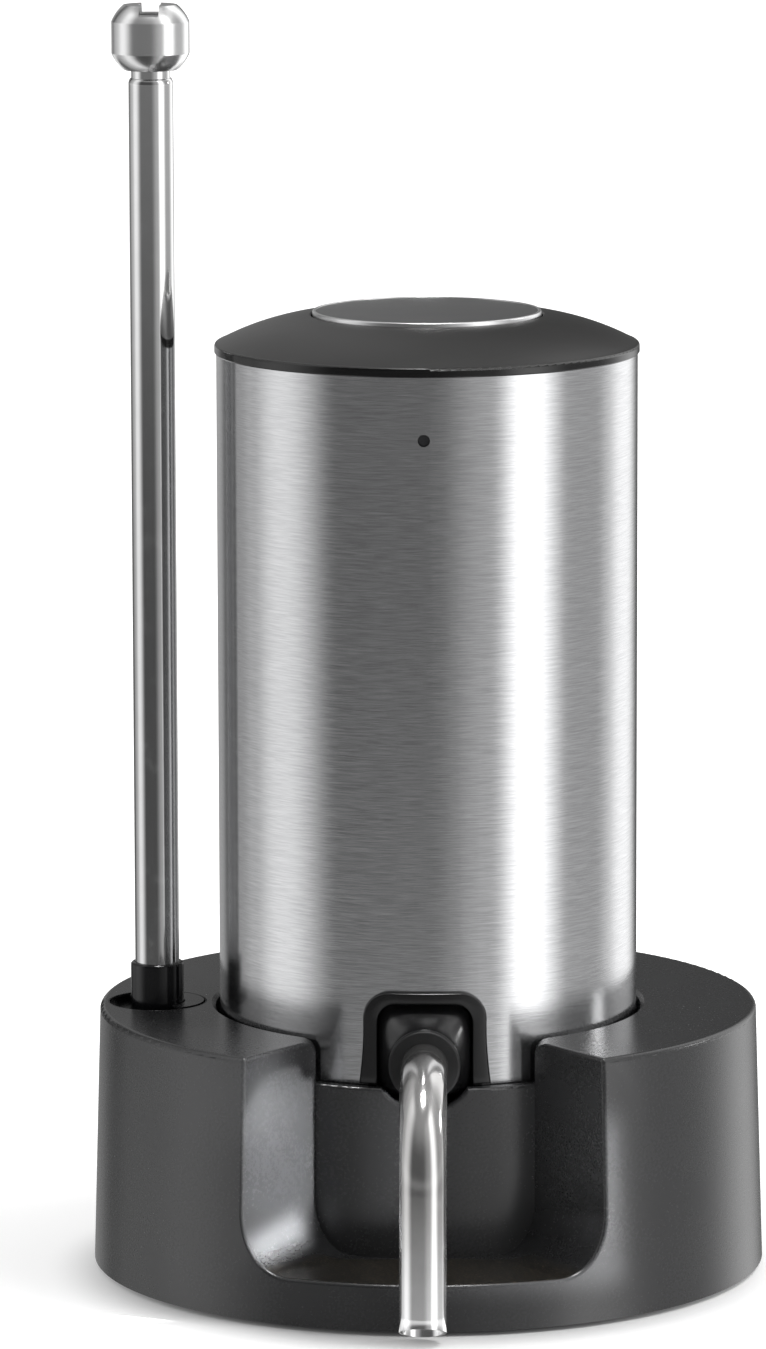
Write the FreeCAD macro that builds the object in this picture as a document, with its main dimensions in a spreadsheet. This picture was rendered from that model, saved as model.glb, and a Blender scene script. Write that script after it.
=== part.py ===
"""Wine preservation dispenser: a battery-driven pump and spout unit that stands in its
storage stand, with the telescopic suction tube upright in a socket beside it.

Frame: origin at the centre of the stand's underside, +Z up, the spout points to -Y
and the suction tube stands on the -X side.  Millimetres.
"""
import FreeCAD, Part
import math
import operator
import os
from types import SimpleNamespace

import Sketcher

os.makedirs("parts", exist_ok=True)
doc = FreeCAD.newDocument("WineDispenser")
sheet = doc.addObject("Spreadsheet::Sheet", "Sizes")


class Size:
    """A length: the expression that gives it on the sheet, and its present value."""
    def __init__(self, text, value):
        self.text, self.value = text, value

    def __float__(self):
        return float(self.value)

    def __neg__(self):
        return Size(f"(-{self.text})", -self.value)


def sized(length):
    """A plain number as a Size."""
    return length if isinstance(length, Size) else Size(repr(length), length)


def add_arithmetic(name, sign, work):
    """Give Size one of Python's four signs, so that its expression grows with its value."""
    def forward(self, other):
        other = sized(other)
        return Size(f"({self.text} {sign} {other.text})", work(self.value, other.value))

    def backward(self, other):
        return forward(sized(other), self)
    setattr(Size, f"__{name}__", forward)
    setattr(Size, f"__r{name}__", backward)


for name, sign, work in (("add", "+", operator.add), ("sub", "-", operator.sub),
                         ("mul", "*", operator.mul), ("truediv", "/", operator.truediv)):
    add_arithmetic(name, sign, work)

# ---------------------------------------------------------------- driving dimensions
SIZES = [
    # stand
    ("stand_margin", 2.1, "tube socket's flange to the stand's outside"),
    ("base_draft", 1.0, "stand, how much narrower it is at its top edge"),
    ("cup_depth", 11.2, "ledge that carries the dispenser to the stand's flat top"),
    ("base_lift", 0.6, "floor to the stand's lower edge"),
    ("base_wall", 2.2, "moulded wall and top of the stand"),
    ("base_edge", 0.7, "rounding of the stand's top edge"),
    ("lip_edge", 0.5, "bevel of the cup's mouth"),
    ("shoulder", 1.9, "rounding where the cup's mouth turns down into the slot"),
    ("cup_gap", 0.6, "steel shell to the stand's cup, all round"),
    ("boss_wall", 1.2, "plastic around a screw's hole in a boss"),
    ("cup_wall", 1.4, "wall of the cup behind the spout slot"),
    ("seat_wall", 2.0, "thickness of that ledge"),
    ("well_radius", 12.0, "well below the ledge that takes the bottle stopper"),
    ("well_wall", 1.5, "wall of the well"),
    ("well_clear", 0.1, "bottom cover to the well's underside"),
    ("panel_drop", 3.75, "spout's axis to the cup wall's top edge in the slot"),
    ("slot_clear", 2.0, "bottom cover to the underside of the spout slot"),
    ("slot_half_back", 14.4, "half width of the slot at the cup wall"),
    ("slot_spread", 0.805, "sideways spread of the slot's walls for each mm forward"),
    ("slot_corner_back", 6.0, "bottom corner radius of the slot at its back"),
    ("slot_corner_front", 9.5, "bottom corner radius of the slot at its front"),
    ("slot_wall", 1.8, "moulded wall around the slot"),
    ("slot_edge", 0.5, "rounding of the slot's rim"),
    ("panel_edge", 0.4, "rounding of the cup wall's top edge in the slot"),
    ("cover_wall", 1.4, "plate of the stand's bottom cover"),
    ("cover_recess", 0.8, "recess in the cover for the foot pad"),
    ("cover_gap", 0.2, "cover to the stand's outer wall"),
    ("cover_rim_height", 0.8, "floor to the cover's underside"),
    ("cover_boss_height", 1.6, "boss on the cover above its plate"),
    ("cover_rim", 4.4, "rim of the cover around the foot pad"),
    ("pad_gap", 0.3, "foot pad to the edge of its recess"),
    ("base_screw_shank", 1.25, "stand screw, shank radius"),
    ("base_screw_head", 2.3, "stand screw, head radius"),
    ("base_screw_head_height", 1.2, "stand screw, head height"),
    ("base_screw_sink", 0.2, "stand screw, head below the cover's recess"),
    ("base_screw_bite", 9.0, "stand screw, length in the stand's boss"),
    ("base_boss_radius", 3.2, "screw boss of the stand"),
    # storage socket and suction tube
    ("socket_clear", 1.35, "cup wall to the tube socket"),
    ("tube_y", 0.7, "suction tube, distance in front of the stand's axis"),
    ("socket_flange_radius", 6.6, "tube socket, flange in the stand's top"),
    ("socket_flange", 1.2, "tube socket, flange thickness"),
    ("socket_wall", 1.3, "tube socket, wall of its barrel"),
    ("socket_floor", 10.0, "floor to the inside bottom of the tube socket"),
    ("socket_gap", 0.05, "tube socket to the hole that it is pressed into"),
    ("sleeve_radius", 3.55, "silicone sleeve on the tube's lower end"),
    ("sleeve_slide", 0.2, "sleeve to the socket"),
    ("sleeve_rise", 5.45, "sleeve's top rim above the stand"),
    ("sleeve_collar", 6.0, "length of the sleeve's lower, narrow bore"),
    ("sleeve_edge", 0.4, "rounding of the sleeve's rim"),
    ("tube_radius", 2.965, "outer tube section"),
    ("tube_wall", 0.2, "wall of the outer section"),
    ("tube_length", 143.5, "outer section, length"),
    ("tube_crimp", 0.9, "length of the crimp"),
    ("crimp_ease", 0.2, "radius of the crimp's curve beyond its length"),
    ("crimp_land", 0.05, "flat ring at the crimp's end"),
    ("crimp_taper", 0.5, "length of the cone inside the crimp"),
    ("inner_radius", 2.6, "inner tube section"),
    ("inner_wall", 0.3, "wall of the inner section"),
    ("inner_gap", 0.06, "inner section to the crimp and to its friction ring's bore"),
    ("inner_bottom_gap", 2.0, "end of the inner section above the sleeve's collar"),
    ("ring_length", 4.0, "friction ring on the inner section's lower end"),
    ("ring_gap", 0.03, "friction ring to the outer section's bore"),
    ("neck_height", 1.1, "inner section showing between crimp and foot"),
    ("foot_radius", 5.175, "inlet foot, cylindrical band"),
    ("foot_sphere", 5.58, "inlet foot, radius of its domes"),
    ("foot_height", 8.6, "inlet foot, overall height"),
    ("foot_socket", 3.4, "inlet foot, depth that takes the inner section"),
    ("foot_bore", 1.5, "inlet foot, radius of its wine bore"),
    ("foot_slot", 2.6, "inlet foot, width of its slot"),
    ("foot_slot_depth", 1.3, "inlet foot, depth of its slot"),
    # steel shell and cap
    ("pump_clear", 2.5, "pump to the steel shell"),
    ("shell_wall", 0.6, "steel shell, wall"),
    ("deck_room", 0.6, "spout frame's top to the lower deck"),
    ("cap_overhang", 0.25, "top cap, rim beyond the shell"),
    ("cap_rim", 1.3, "top cap, height of its rim band"),
    ("cap_rise", 5.03, "shell's top edge to the cap's surface around the button"),
    ("cap_arch", 34.0, "radius of the cap's crowned slope"),
    ("cap_edge", 0.4, "rounding of the rim band's upper edge"),
    ("cap_bevel", 0.15, "bevel of the rim band's lower edge"),
    ("pocket_bevel", 0.2, "bevel of the button's pocket"),
    ("cap_shoulder", 2.0, "flat underside of the cap beyond the button"),
    ("cap_seat", 1.0, "top of the skirt's inside below the shell's edge"),
    ("cap_wall", 2.0, "top cap, wall"),
    ("cap_skirt", 5.0, "top cap, skirt inside the shell"),
    ("cap_skirt_wall", 1.4, "top cap, wall of its skirt"),
    ("slip_gap", 0.1, "clearance of pieces that are pushed together"),
    ("led_drop", 8.22, "shell's top edge to the status light"),
    ("led_hole", 0.8, "hole for the status light"),
    ("pipe_radius", 0.75, "light pipe"),
    ("pipe_inset", 0.45, "light pipe behind the shell's surface"),
    # button
    ("button_radius", 15.2, "button with its metal rim"),
    ("button_rim", 0.45, "width of the metal rim"),
    ("button_rise", 0.55, "button's top above the cap's surface"),
    ("button_thick", 1.9, "height of the metal rim"),
    ("button_gap", 0.2, "button to its pocket in the cap"),
    ("button_travel", 0.7, "travel of the button"),
    ("button_stop", 0.1, "room left under the pressed button"),
    ("button_inset", 0.15, "disc's face below the metal rim"),
    ("stem_radius", 3.0, "button stem"),
    ("stem_gap", 0.08, "button stem to its guide"),
    ("spring_well_radius", 5.6, "well for the button spring"),
    ("spring_well_depth", 6.0, "depth of that well below the pocket"),
    ("spring_well_wall", 1.3, "wall and floor of the well"),
    ("spring_wire", 0.3, "button spring, wire radius"),
    ("spring_coil", 4.3, "button spring, mean radius"),
    ("spring_pitch", 1.6, "button spring, pitch"),
    ("switch_side", 6.0, "tact switch, side"),
    ("switch_height", 2.4, "tact switch, height of its body"),
    ("switch_pin", 1.75, "tact switch, radius of its actuator"),
    ("switch_rise", 0.6, "tact switch, actuator above its body"),
    ("switch_gap", 0.05, "pressed stem to the switch's actuator"),
    # circuit board and charging port
    ("board_gap", 0.2, "circuit board to the cap's posts"),
    ("board_thick", 1.6, "circuit board"),
    ("board_drop", 0.95, "board's top face below the status light"),
    ("board_standoff", 0.6, "upper deck to the board"),
    ("board_screw_inset", 3.5, "board screws from the board's edge"),
    ("board_screw_shank", 0.95, "board screw, shank radius"),
    ("board_screw_head", 1.8, "board screw, head radius"),
    ("board_screw_rise", 1.1, "board screw, head height"),
    ("led_width", 2.0, "status light, across"),
    ("led_depth", 1.6, "status light, front to back"),
    ("led_over", 0.8, "status light above the height of its light"),
    ("led_inset", 0.5, "status light behind the board's edge"),
    ("port_width", 8.94, "charging port, outside width"),
    ("port_height", 3.26, "charging port, outside height"),
    ("port_depth", 7.35, "charging port, depth"),
    ("port_recess", 0.5, "charging port's mouth behind the shell's inside"),
    ("port_shell", 0.35, "charging port, sheet thickness"),
    ("port_tongue", 0.7, "charging port, thickness of its tongue"),
    ("port_tongue_side", 1.3, "charging port, side to its tongue"),
    ("port_tongue_back", 1.0, "charging port, mouth to its tongue"),
    ("port_shelf", 2.0, "board beyond the port on each side"),
    ("port_room", 0.5, "port to the frame's cut-out for it"),
    ("port_hole_gap", 0.35, "charging port to the hole in the shell"),
    # inner frame, cell and pump
    ("deck_gap", 0.3, "decks of the inner frame to the shell"),
    ("deck_wall", 1.8, "thickness of both decks"),
    ("web_width", 1.6, "upright web between the cell and the pump"),
    ("web_depth", 40.0, "front to back size of the web"),
    ("holder_depth", 4.0, "light pipe's holder, front to back"),
    ("holder_wall", 0.8, "light pipe's holder, wall around the pipe"),
    ("holder_inset", 0.5, "light pipe's holder behind the deck's edge"),
    ("passage_gap", 0.3, "wires and hose to the holes that they pass"),
    ("cell_radius", 9.2, "lithium cell"),
    ("cell_length", 65.0, "lithium cell"),
    ("web_left", 3.6, "web, distance to the left of the axis"),
    ("cell_button", 0.3, "lithium cell, height of its contact"),
    ("cell_gap", 0.2, "cell to the upper deck"),
    ("web_gap", 0.9, "web to the cell and to the pump"),
    ("pump_radius", 13.4, "air pump, diaphragm head"),
    ("pump_head_height", 21.0, "air pump, diaphragm head"),
    ("pump_seam_height", 7.35, "air pump, its seam above the lower deck"),
    ("pump_seam", 0.5, "air pump, width of its seam"),
    ("pump_seam_depth", 0.4, "air pump, depth of its seam"),
    ("motor_radius", 12.0, "air pump, motor"),
    ("motor_height", 30.0, "air pump, motor can"),
    ("nozzle_radius", 1.3, "air nozzles, outside"),
    ("nozzle_bore", 0.7, "air nozzles, bore"),
    ("nozzle_length", 4.2, "air nozzles, length"),
    ("hose_wall", 0.6, "air hose, wall"),
    ("hose_bend", 4.0, "air hose, bend radius"),
    ("lead_radius", 0.6, "wires of the cell and the motor"),
    # bottom cover, stopper and wine path
    ("flange_inset", 0.1, "bottom cover's flange behind the shell's surface"),
    ("flange_wall", 2.0, "bottom cover, flange"),
    ("spigot_height", 1.5, "bottom cover, step inside the shell"),
    ("spigot_wall", 1.6, "bottom cover, bevel of that step"),
    ("bottom_gap_depth", 11.0, "bottom cover, depth of its gap for the nose"),
    ("neck_radius", 6.5, "bottom cover, neck that carries the stopper"),
    ("neck_length", 15.0, "neck below the flange"),
    ("wine_bore", 2.1, "wine bore of the neck"),
    ("inlet_reach", 3.8, "wine inlet below the neck"),
    ("inlet_clear", 0.6, "floor of the well to the wine inlet"),
    ("inlet_radius", 2.3, "wine inlet below the neck"),
    ("inlet_wall", 0.6, "wall of the wine inlet inside the neck"),
    ("inlet_gap", 0.05, "wine inlet to the neck's bore"),
    ("inlet_depth", 5.0, "wine inlet, length inside the neck"),
    ("elbow_radius", 3.2, "wine elbow, outside"),
    ("elbow_bore", 2.1, "wine elbow, bore"),
    ("elbow_depth", 6.0, "wine elbow, length inside the neck"),
    ("elbow_bend", 5.0, "wine elbow, bend radius"),
    ("stopper_radius", 9.25, "bottle stopper, sealing bands"),
    ("stopper_core", 8.2, "bottle stopper, between the bands"),
    ("stopper_band", 6.0, "bottle stopper, height of its upper band"),
    ("stopper_foot", 0.4, "bottle stopper above the neck's lower end"),
    ("stopper_chamfer", 0.6, "bottle stopper, bevel of its lower edge"),
    ("stopper_rib", 1.6, "bottle stopper, height of each lower rib"),
    ("stopper_lead", 0.5, "bottle stopper, slope under each rib"),
    ("stopper_back", 0.2, "bottle stopper, slope on top of each rib"),
    ("stopper_groove", 1.4, "bottle stopper, gap between ribs"),
    ("cover_post_inset", 1.6, "bottom screws' posts behind the decks' edge"),
    ("cover_screw_shank", 1.2, "bottom screw, shank radius"),
    ("cover_screw_head", 2.2, "bottom screw, head radius"),
    ("cover_screw_rise", 1.4, "bottom screw, head height"),
    ("cover_screw_sink", 1.6, "bottom screw, depth of its head's hole"),
    ("cover_screw_bite", 8.0, "bottom screw, length in the inner frame"),
    ("post_radius", 3.0, "posts of the inner frame"),
    ("post_merge", 0.4, "cap posts, depth in the cap's skirt"),
    ("cap_post_radius", 2.6, "posts of the cap"),
    # spout and its mounting
    ("spout_rise", 7.2, "shell's lower edge to the spout's horizontal axis"),
    ("spout_radius", 3.08, "spout tube, outside"),
    ("spout_wall", 0.5, "spout tube, wall"),
    ("spout_bend", 13.0, "spout tube, bend radius of its axis"),
    ("spout_clear", 4.4, "stand's front to the axis of the spout's outlet"),
    ("spout_end", 1.4, "floor to the spout's outlet"),
    ("spout_inside", 3.4, "shell's surface to the spout's inner end"),
    ("spout_gap", 0.05, "spout tube to its seat"),
    ("frame_half", 8.1, "spout frame, half width"),
    ("frame_rise", 8.8, "spout's axis to the top of the spout frame"),
    ("frame_corner", 3.4, "spout frame, outer corner radius"),
    ("frame_proud", 0.9, "spout frame in front of the shell"),
    ("frame_band_side", 1.85, "spout frame, width of its sides"),
    ("frame_band_top", 1.5, "spout frame, width of its top"),
    ("frame_lip", 0.65, "spout frame, lip inside the shell's notch"),
    ("frame_foot_gap", 0.3, "spout frame above the cup wall's top edge"),
    ("frame_corner_gain", 0.6, "frame's inner corner beyond a constant band"),
    ("lip_depth", 1.0, "lip behind the shell's inside"),
    ("nose_radius", 4.7, "nose of the spout housing"),
    ("nose_length", 4.2, "shell's surface to the nose's end"),
    ("nose_root_drop", 5.2, "spout's axis to the lower edge of the nose's root"),
    ("nose_root_inset", 1.0, "nose's root behind the shell's surface"),
    ("nose_root_depth", 2.5, "nose's root, front to back"),
    ("flange_reach", 2.0, "nose's flange beyond its root"),
    ("flange_depth", 1.4, "nose's flange, thickness"),
    ("flange_rise", 1.0, "nose's flange above its root"),
    ("barrel_wall", 1.5, "wall around the elbow's seat in the nose"),
    ("barrel_length", 6.0, "length of that wall"),
    ("root_corner", 3.0, "corner radius of the nose's root"),
    ("seal_face", 1.0, "spout seal, thickness of its visible face"),
    ("seal_depth", 3.0, "spout seal, length of its collar in the nose"),
    ("seal_collar", 3.9, "spout seal, radius of its collar"),
    ("scoop_gap", 2.0, "scoop in the cup wall around the nose"),
    ("soft_gap", 0.3, "hose and elbow to the pieces that they stop short of"),
]
dim = SimpleNamespace()
for row, (alias, value, meaning) in enumerate(SIZES, start=1):
    sheet.set(f"A{row}", meaning)
    sheet.set(f"B{row}", str(value))
    sheet.setAlias(f"B{row}", alias)
    setattr(dim, alias, Size(f"Sizes.{alias}", value))
doc.recompute()

# Lengths that follow from the sheet, from the floor up and from the axis outwards.
RECESS_TOP = dim.cover_rim_height + dim.cover_recess
COVER_TOP = RECESS_TOP + dim.cover_wall
SLOT_FLOOR = COVER_TOP + dim.slot_wall + dim.slot_clear
WELL_FLOOR = COVER_TOP + dim.well_clear + dim.well_wall
INLET_BOTTOM = WELL_FLOOR + dim.inlet_clear
NECK_BOTTOM = INLET_BOTTOM + dim.inlet_reach
SEAT_HEIGHT = NECK_BOTTOM + dim.neck_length
BASE_HEIGHT = SEAT_HEIGHT + dim.cup_depth
SHELL_BOTTOM = SEAT_HEIGHT + dim.flange_wall
NECK_STEP = SHELL_BOTTOM + dim.spigot_height
SPOUT_HEIGHT = SHELL_BOTTOM + dim.spout_rise
PANEL_TOP = SPOUT_HEIGHT - dim.panel_drop
NOSE_ROOT_LOW = SPOUT_HEIGHT - dim.nose_root_drop
FRAME_TOP = SPOUT_HEIGHT + dim.frame_rise
LOWER_DECK = FRAME_TOP + dim.deck_room + dim.deck_wall
UPPER_DECK = LOWER_DECK + dim.cell_length + dim.cell_button + dim.cell_gap + dim.deck_wall
BOARD_BOTTOM = UPPER_DECK + dim.board_standoff
BOARD_TOP = BOARD_BOTTOM + dim.board_thick
LED_HEIGHT = BOARD_TOP + dim.board_drop
SHELL_TOP = LED_HEIGHT + dim.led_drop
CAP_CROWN = SHELL_TOP + dim.cap_rise
BUTTON_TOP = CAP_CROWN + dim.button_rise
POCKET_FLOOR = BUTTON_TOP - dim.button_thick - dim.button_travel - dim.button_stop
STEM_BOTTOM = BOARD_TOP + dim.switch_height + dim.switch_rise + dim.switch_gap + dim.button_travel
SLEEVE_SHELF = dim.socket_floor + dim.sleeve_collar
SLEEVE_TOP = BASE_HEIGHT + dim.sleeve_rise
TUBE_TOP = SLEEVE_SHELF + dim.tube_length
FOOT_BOTTOM = TUBE_TOP + dim.neck_height

CELL_X = dim.web_left + dim.web_width / 2 + dim.web_gap + dim.cell_radius
PUMP_X = dim.pump_radius + dim.web_gap + dim.web_width / 2 - dim.web_left
SHELL_INSIDE = PUMP_X + dim.pump_radius + dim.pump_clear
SHELL_RADIUS = SHELL_INSIDE + dim.shell_wall
CUP_INSIDE = SHELL_RADIUS + dim.cup_gap
CUP_OUTSIDE = CUP_INSIDE + dim.cup_wall
SOCKET_INSIDE = dim.sleeve_radius + dim.sleeve_slide
SOCKET_OUTSIDE = SOCKET_INSIDE + dim.socket_wall
TUBE_X = CUP_OUTSIDE + dim.socket_clear + SOCKET_OUTSIDE
TUBE = (-TUBE_X, -dim.tube_y)
BASE_RADIUS = TUBE_X + dim.socket_flange_radius + dim.stand_margin
BASE_TOP_RADIUS = BASE_RADIUS - dim.base_draft
COVER_RADIUS = BASE_RADIUS - dim.base_wall - dim.cover_gap
PAD_RADIUS = COVER_RADIUS - dim.cover_rim - dim.pad_gap
BASE_SCREW_CIRCLE = PAD_RADIUS - dim.base_screw_head - dim.slip_gap
SPOUT_REACH = BASE_RADIUS + dim.spout_clear
SPOUT_INNER_END = SHELL_RADIUS - dim.spout_inside
NOSE_REACH = SHELL_RADIUS + dim.nose_length
FLANGE_RADIUS = SHELL_RADIUS - dim.flange_inset
CAP_RADIUS = SHELL_RADIUS + dim.cap_overhang
PORT_MOUTH = SHELL_INSIDE - dim.port_recess
DECK_RADIUS = SHELL_INSIDE - dim.deck_gap
COVER_SCREW_CIRCLE = DECK_RADIUS - dim.post_radius - dim.cover_post_inset
SKIRT_INSIDE = SHELL_INSIDE - dim.slip_gap - dim.cap_skirt_wall
POST_CIRCLE = SKIRT_INSIDE - dim.cap_post_radius + dim.post_merge
BOARD_RADIUS = POST_CIRCLE - dim.cap_post_radius - dim.board_gap
BOARD_SCREW_CIRCLE = BOARD_RADIUS - dim.board_screw_inset
HOSE_RADIUS = dim.nozzle_radius + dim.slip_gap / 2 + dim.hose_wall
AIR_PORT_Y = dim.elbow_radius + HOSE_RADIUS + dim.slip_gap
LEAD_OFFSETS = (-dim.motor_radius / 2, dim.motor_radius / 2)
CELL_LEAD_Y = -dim.cell_radius - dim.lead_radius - dim.slip_gap

STAND_SCREW_ANGLES = (45, 135, 225, 315)
CAP_POST_ANGLES = (45, 135, 225, 315)
COVER_POST_ANGLES = (90, 210, 330)
BOARD_SCREW_ANGLES = (60, 240)
PAST = 1.0  # how far a cutting tool runs past the face that it opens
DEEP = 20.0  # a cutting tool that runs into open space on both sides


# ---------------------------------------------------------------- small helpers
def bind(thing, name, length):
    """Let the sheet drive one of a thing's sizes."""
    thing.setExpression(name, sized(length).text)


TURN = {
    "up": FreeCAD.Rotation(),
    "forward": FreeCAD.Rotation(FreeCAD.Vector(1, 0, 0), 90),
}


def put(thing, x=0, y=0, z=0):
    """Bind a thing's place to the sheet."""
    for axis, place in zip("xyz", (x, y, z)):
        bind(thing, "Placement.Base." + axis, place)
    return thing


def rod(name, radius, length, x=0, y=0, z=0, along="up"):
    """A round bar; x, y, z is the centre of the end that it starts from."""
    bar = doc.addObject("Part::Cylinder", name)
    bind(bar, "Radius", radius)
    bind(bar, "Height", length)
    bar.Placement.Rotation = TURN[along]
    return put(bar, x, y, z)


def block(name, width, depth, height, x=0, y=0, z=0):
    """A block centred on x, from y backwards and from z upwards."""
    brick = doc.addObject("Part::Box", name)
    bind(brick, "Length", width)
    bind(brick, "Width", depth)
    bind(brick, "Height", height)
    return put(brick, x - width / 2, y, z)


def joined(name, *pieces):
    """One solid from pieces that overlap."""
    union = doc.addObject("Part::MultiFuse", name)
    union.Shapes = list(pieces)
    return union


def cut(name, base, *tools):
    """The base with every tool taken away."""
    result = doc.addObject("Part::Cut", name)
    result.Base = base
    result.Tool = tools[0] if len(tools) == 1 else joined(name + "_tools", *tools)
    return result


def shared(name, first, second):
    """What two solids have in common."""
    result = doc.addObject("Part::Common", name)
    result.Base = first
    result.Tool = second
    return result


def group(name, pieces):
    """Separate solids kept as one node, such as a set of screws."""
    compound = doc.addObject("Part::Compound", name)
    compound.Links = list(pieces)
    return compound


def rounded(name, base, radius, chosen):
    """The base with the edges rounded whose midpoints are chosen."""
    doc.recompute()
    edges = []
    for index, edge in enumerate(base.Shape.Edges, start=1):
        middle = edge.valueAt((edge.FirstParameter + edge.LastParameter) / 2)
        if chosen(middle):
            edges.append((index, float(radius), float(radius)))
    fillet = doc.addObject("Part::Fillet", name)
    fillet.Base = base
    fillet.Edges = edges
    return fillet


def solid(name, shape):
    """A solid whose shape is worked out from the sheet by this script."""
    feature = doc.addObject("Part::Feature", name)
    feature.Shape = shape
    return feature


def convex_arc(start, end, radius):
    """The point halfway along an arc that bulges to the right of start -> end."""
    chord = end - start
    left = FreeCAD.Vector(-chord.y, chord.x, 0).normalize()
    rise = math.sqrt(max(radius ** 2 - (chord.Length / 2) ** 2, 0))
    return (start + end) / 2 + left * (rise - radius)


def turned(name, profile, x=0, y=0):
    """A body turned about an upright axis.  The profile lists (radius, height) corners
    anticlockwise; a third value makes the side that ends there an arc of that radius."""
    body = doc.addObject("PartDesign::Body", name)
    sketch = body.newObject("Sketcher::SketchObject", name + "_profile")
    plane = [p for p in body.Origin.OriginFeatures if p.Role == "XZ_Plane"][0]
    sketch.AttachmentSupport = [(plane, "")]
    sketch.MapMode = "FlatFace"
    corners = [FreeCAD.Vector(float(p[0]), float(p[1]), 0) for p in profile]
    bends = []
    for index, corner in enumerate(profile):
        start, end = corners[index - 1], corners[index]
        if len(corner) == 3:
            middle = convex_arc(start, end, float(corner[2]))
            sketch.addGeometry(Part.Arc(start, middle, end))
            bends.append((index, corner[2]))
        else:
            sketch.addGeometry(Part.LineSegment(start, end))
    count = len(profile)
    for index in range(count):
        sketch.addConstraint(Sketcher.Constraint(
            "Coincident", index, 2, (index + 1) % count, 1))
    for index, corner in enumerate(profile):
        for kind, axis, place in (("DistanceX", -2, corner[0]), ("DistanceY", -1, corner[1])):
            if place == 0:
                sketch.addConstraint(Sketcher.Constraint("PointOnObject", index, 2, axis))
                continue
            datum = sketch.addConstraint(Sketcher.Constraint(
                kind, -1, 1, index, 2, float(place)))
            bind(sketch, f"Constraints[{datum}]", place)
    for index, radius in bends:
        datum = sketch.addConstraint(Sketcher.Constraint("Radius", index, float(radius)))
        bind(sketch, f"Constraints[{datum}]", radius)
    turn = body.newObject("PartDesign::Revolution", name + "_turn")
    turn.Profile = sketch
    turn.ReferenceAxis = (sketch, ["V_Axis"])
    turn.Angle = 360
    body.Tip = turn
    return put(body, x, y)


def sleeve(name, inside, outside, bottom, top, x=0, y=0):
    """A plain turned tube."""
    return turned(name, [(inside, bottom), (outside, bottom), (outside, top), (inside, top)], x, y)


def around(circle, angle):
    """The x and y of a place on a circle about the upright axis."""
    turn = math.radians(angle)
    return (circle * Size(f"cos({angle} deg)", math.cos(turn)),
            circle * Size(f"sin({angle} deg)", math.sin(turn)))


def bent_bar(corners, bend, radius):
    """A round bar along straight runs that are joined by arcs tangent to both."""
    edges, start = [], corners[0]
    for before, corner, after in zip(corners, corners[1:], corners[2:]):
        arrive = (corner - before).normalize()
        leave = (after - corner).normalize()
        turn = arrive.getAngle(leave)
        trim = bend * math.tan(turn / 2)
        arc_start, arc_end = corner - arrive * trim, corner + leave * trim
        inward = (leave - arrive).normalize()
        middle = corner + inward * (bend / math.cos(turn / 2) - bend)
        edges.append(Part.LineSegment(start, arc_start).toShape())
        edges.append(Part.Arc(arc_start, middle, arc_end).toShape())
        start = arc_end
    edges.append(Part.LineSegment(start, corners[-1]).toShape())
    path = Part.Wire(edges)
    ring = Part.Wire(Part.makeCircle(radius, corners[0], corners[1] - corners[0]))
    return path.makePipeShell([ring], True, False)


def bent_tube(name, corners, bend, outside, inside):
    """A bent bar with a bore that runs right through it."""
    corners = [FreeCAD.Vector(*corner) for corner in corners]
    return solid(name, bent_bar(corners, bend, outside).cut(bent_bar(corners, bend, inside)))


def rounded_outline(half_width, low, high, corner, y):
    """An upright rectangle across the view axis at a given y, with four round corners."""
    left, right = -half_width, half_width
    bow = corner * (1 - math.sqrt(0.5))

    def at(x, z):
        return FreeCAD.Vector(x, y, z)
    edges = [
        Part.LineSegment(at(left + corner, low), at(right - corner, low)),
        Part.Arc(at(right - corner, low), at(right - bow, low + bow), at(right, low + corner)),
        Part.LineSegment(at(right, low + corner), at(right, high - corner)),
        Part.Arc(at(right, high - corner), at(right - bow, high - bow), at(right - corner, high)),
        Part.LineSegment(at(right - corner, high), at(left + corner, high)),
        Part.Arc(at(left + corner, high), at(left + bow, high - bow), at(left, high - corner)),
        Part.LineSegment(at(left, high - corner), at(left, low + corner)),
        Part.Arc(at(left, low + corner), at(left + bow, low + bow), at(left + corner, low)),
    ]
    return Part.Wire([edge.toShape() for edge in edges])


def arch(name, half_width, low, high, corner, front, back):
    """A block with a round-cornered arch outline, from one y back to another."""
    hidden = low - 2 * corner
    wire = rounded_outline(half_width, hidden, high, corner, front)
    bar = Part.Face(wire).extrude(FreeCAD.Vector(0, back - front, 0))
    trim = Part.makeBox(2 * half_width, back - front, low - hidden,
                        FreeCAD.Vector(-half_width, front, hidden))
    return solid(name, bar.cut(trim))


NODES = {}


def keep(name, thing):
    """Name a finished sub-part and put it on the list of what is exported."""
    thing.Label = name
    NODES[name] = thing
    return thing


# ---------------------------------------------------------------- stand
def slot_cutter(grow):
    """The splayed, round-bottomed slot, opened out by a wall thickness on every side."""
    outlines = []
    back, front = float(dim.slot_half_back), float(BASE_RADIUS) + 4 * PAST
    start = float(SHELL_RADIUS) - 6 * PAST
    rear_face = math.sqrt(float(CUP_OUTSIDE) ** 2 - back ** 2)
    for depth, corner in ((start, dim.slot_corner_back), (front, dim.slot_corner_front)):
        half = back + (depth - rear_face) * float(dim.slot_spread)
        outlines.append(rounded_outline(
            half + grow, float(SLOT_FLOOR) - grow, float(BASE_HEIGHT) + DEEP,
            float(corner) + grow, -depth))
    return Part.makeLoft(outlines, True, True)


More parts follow.
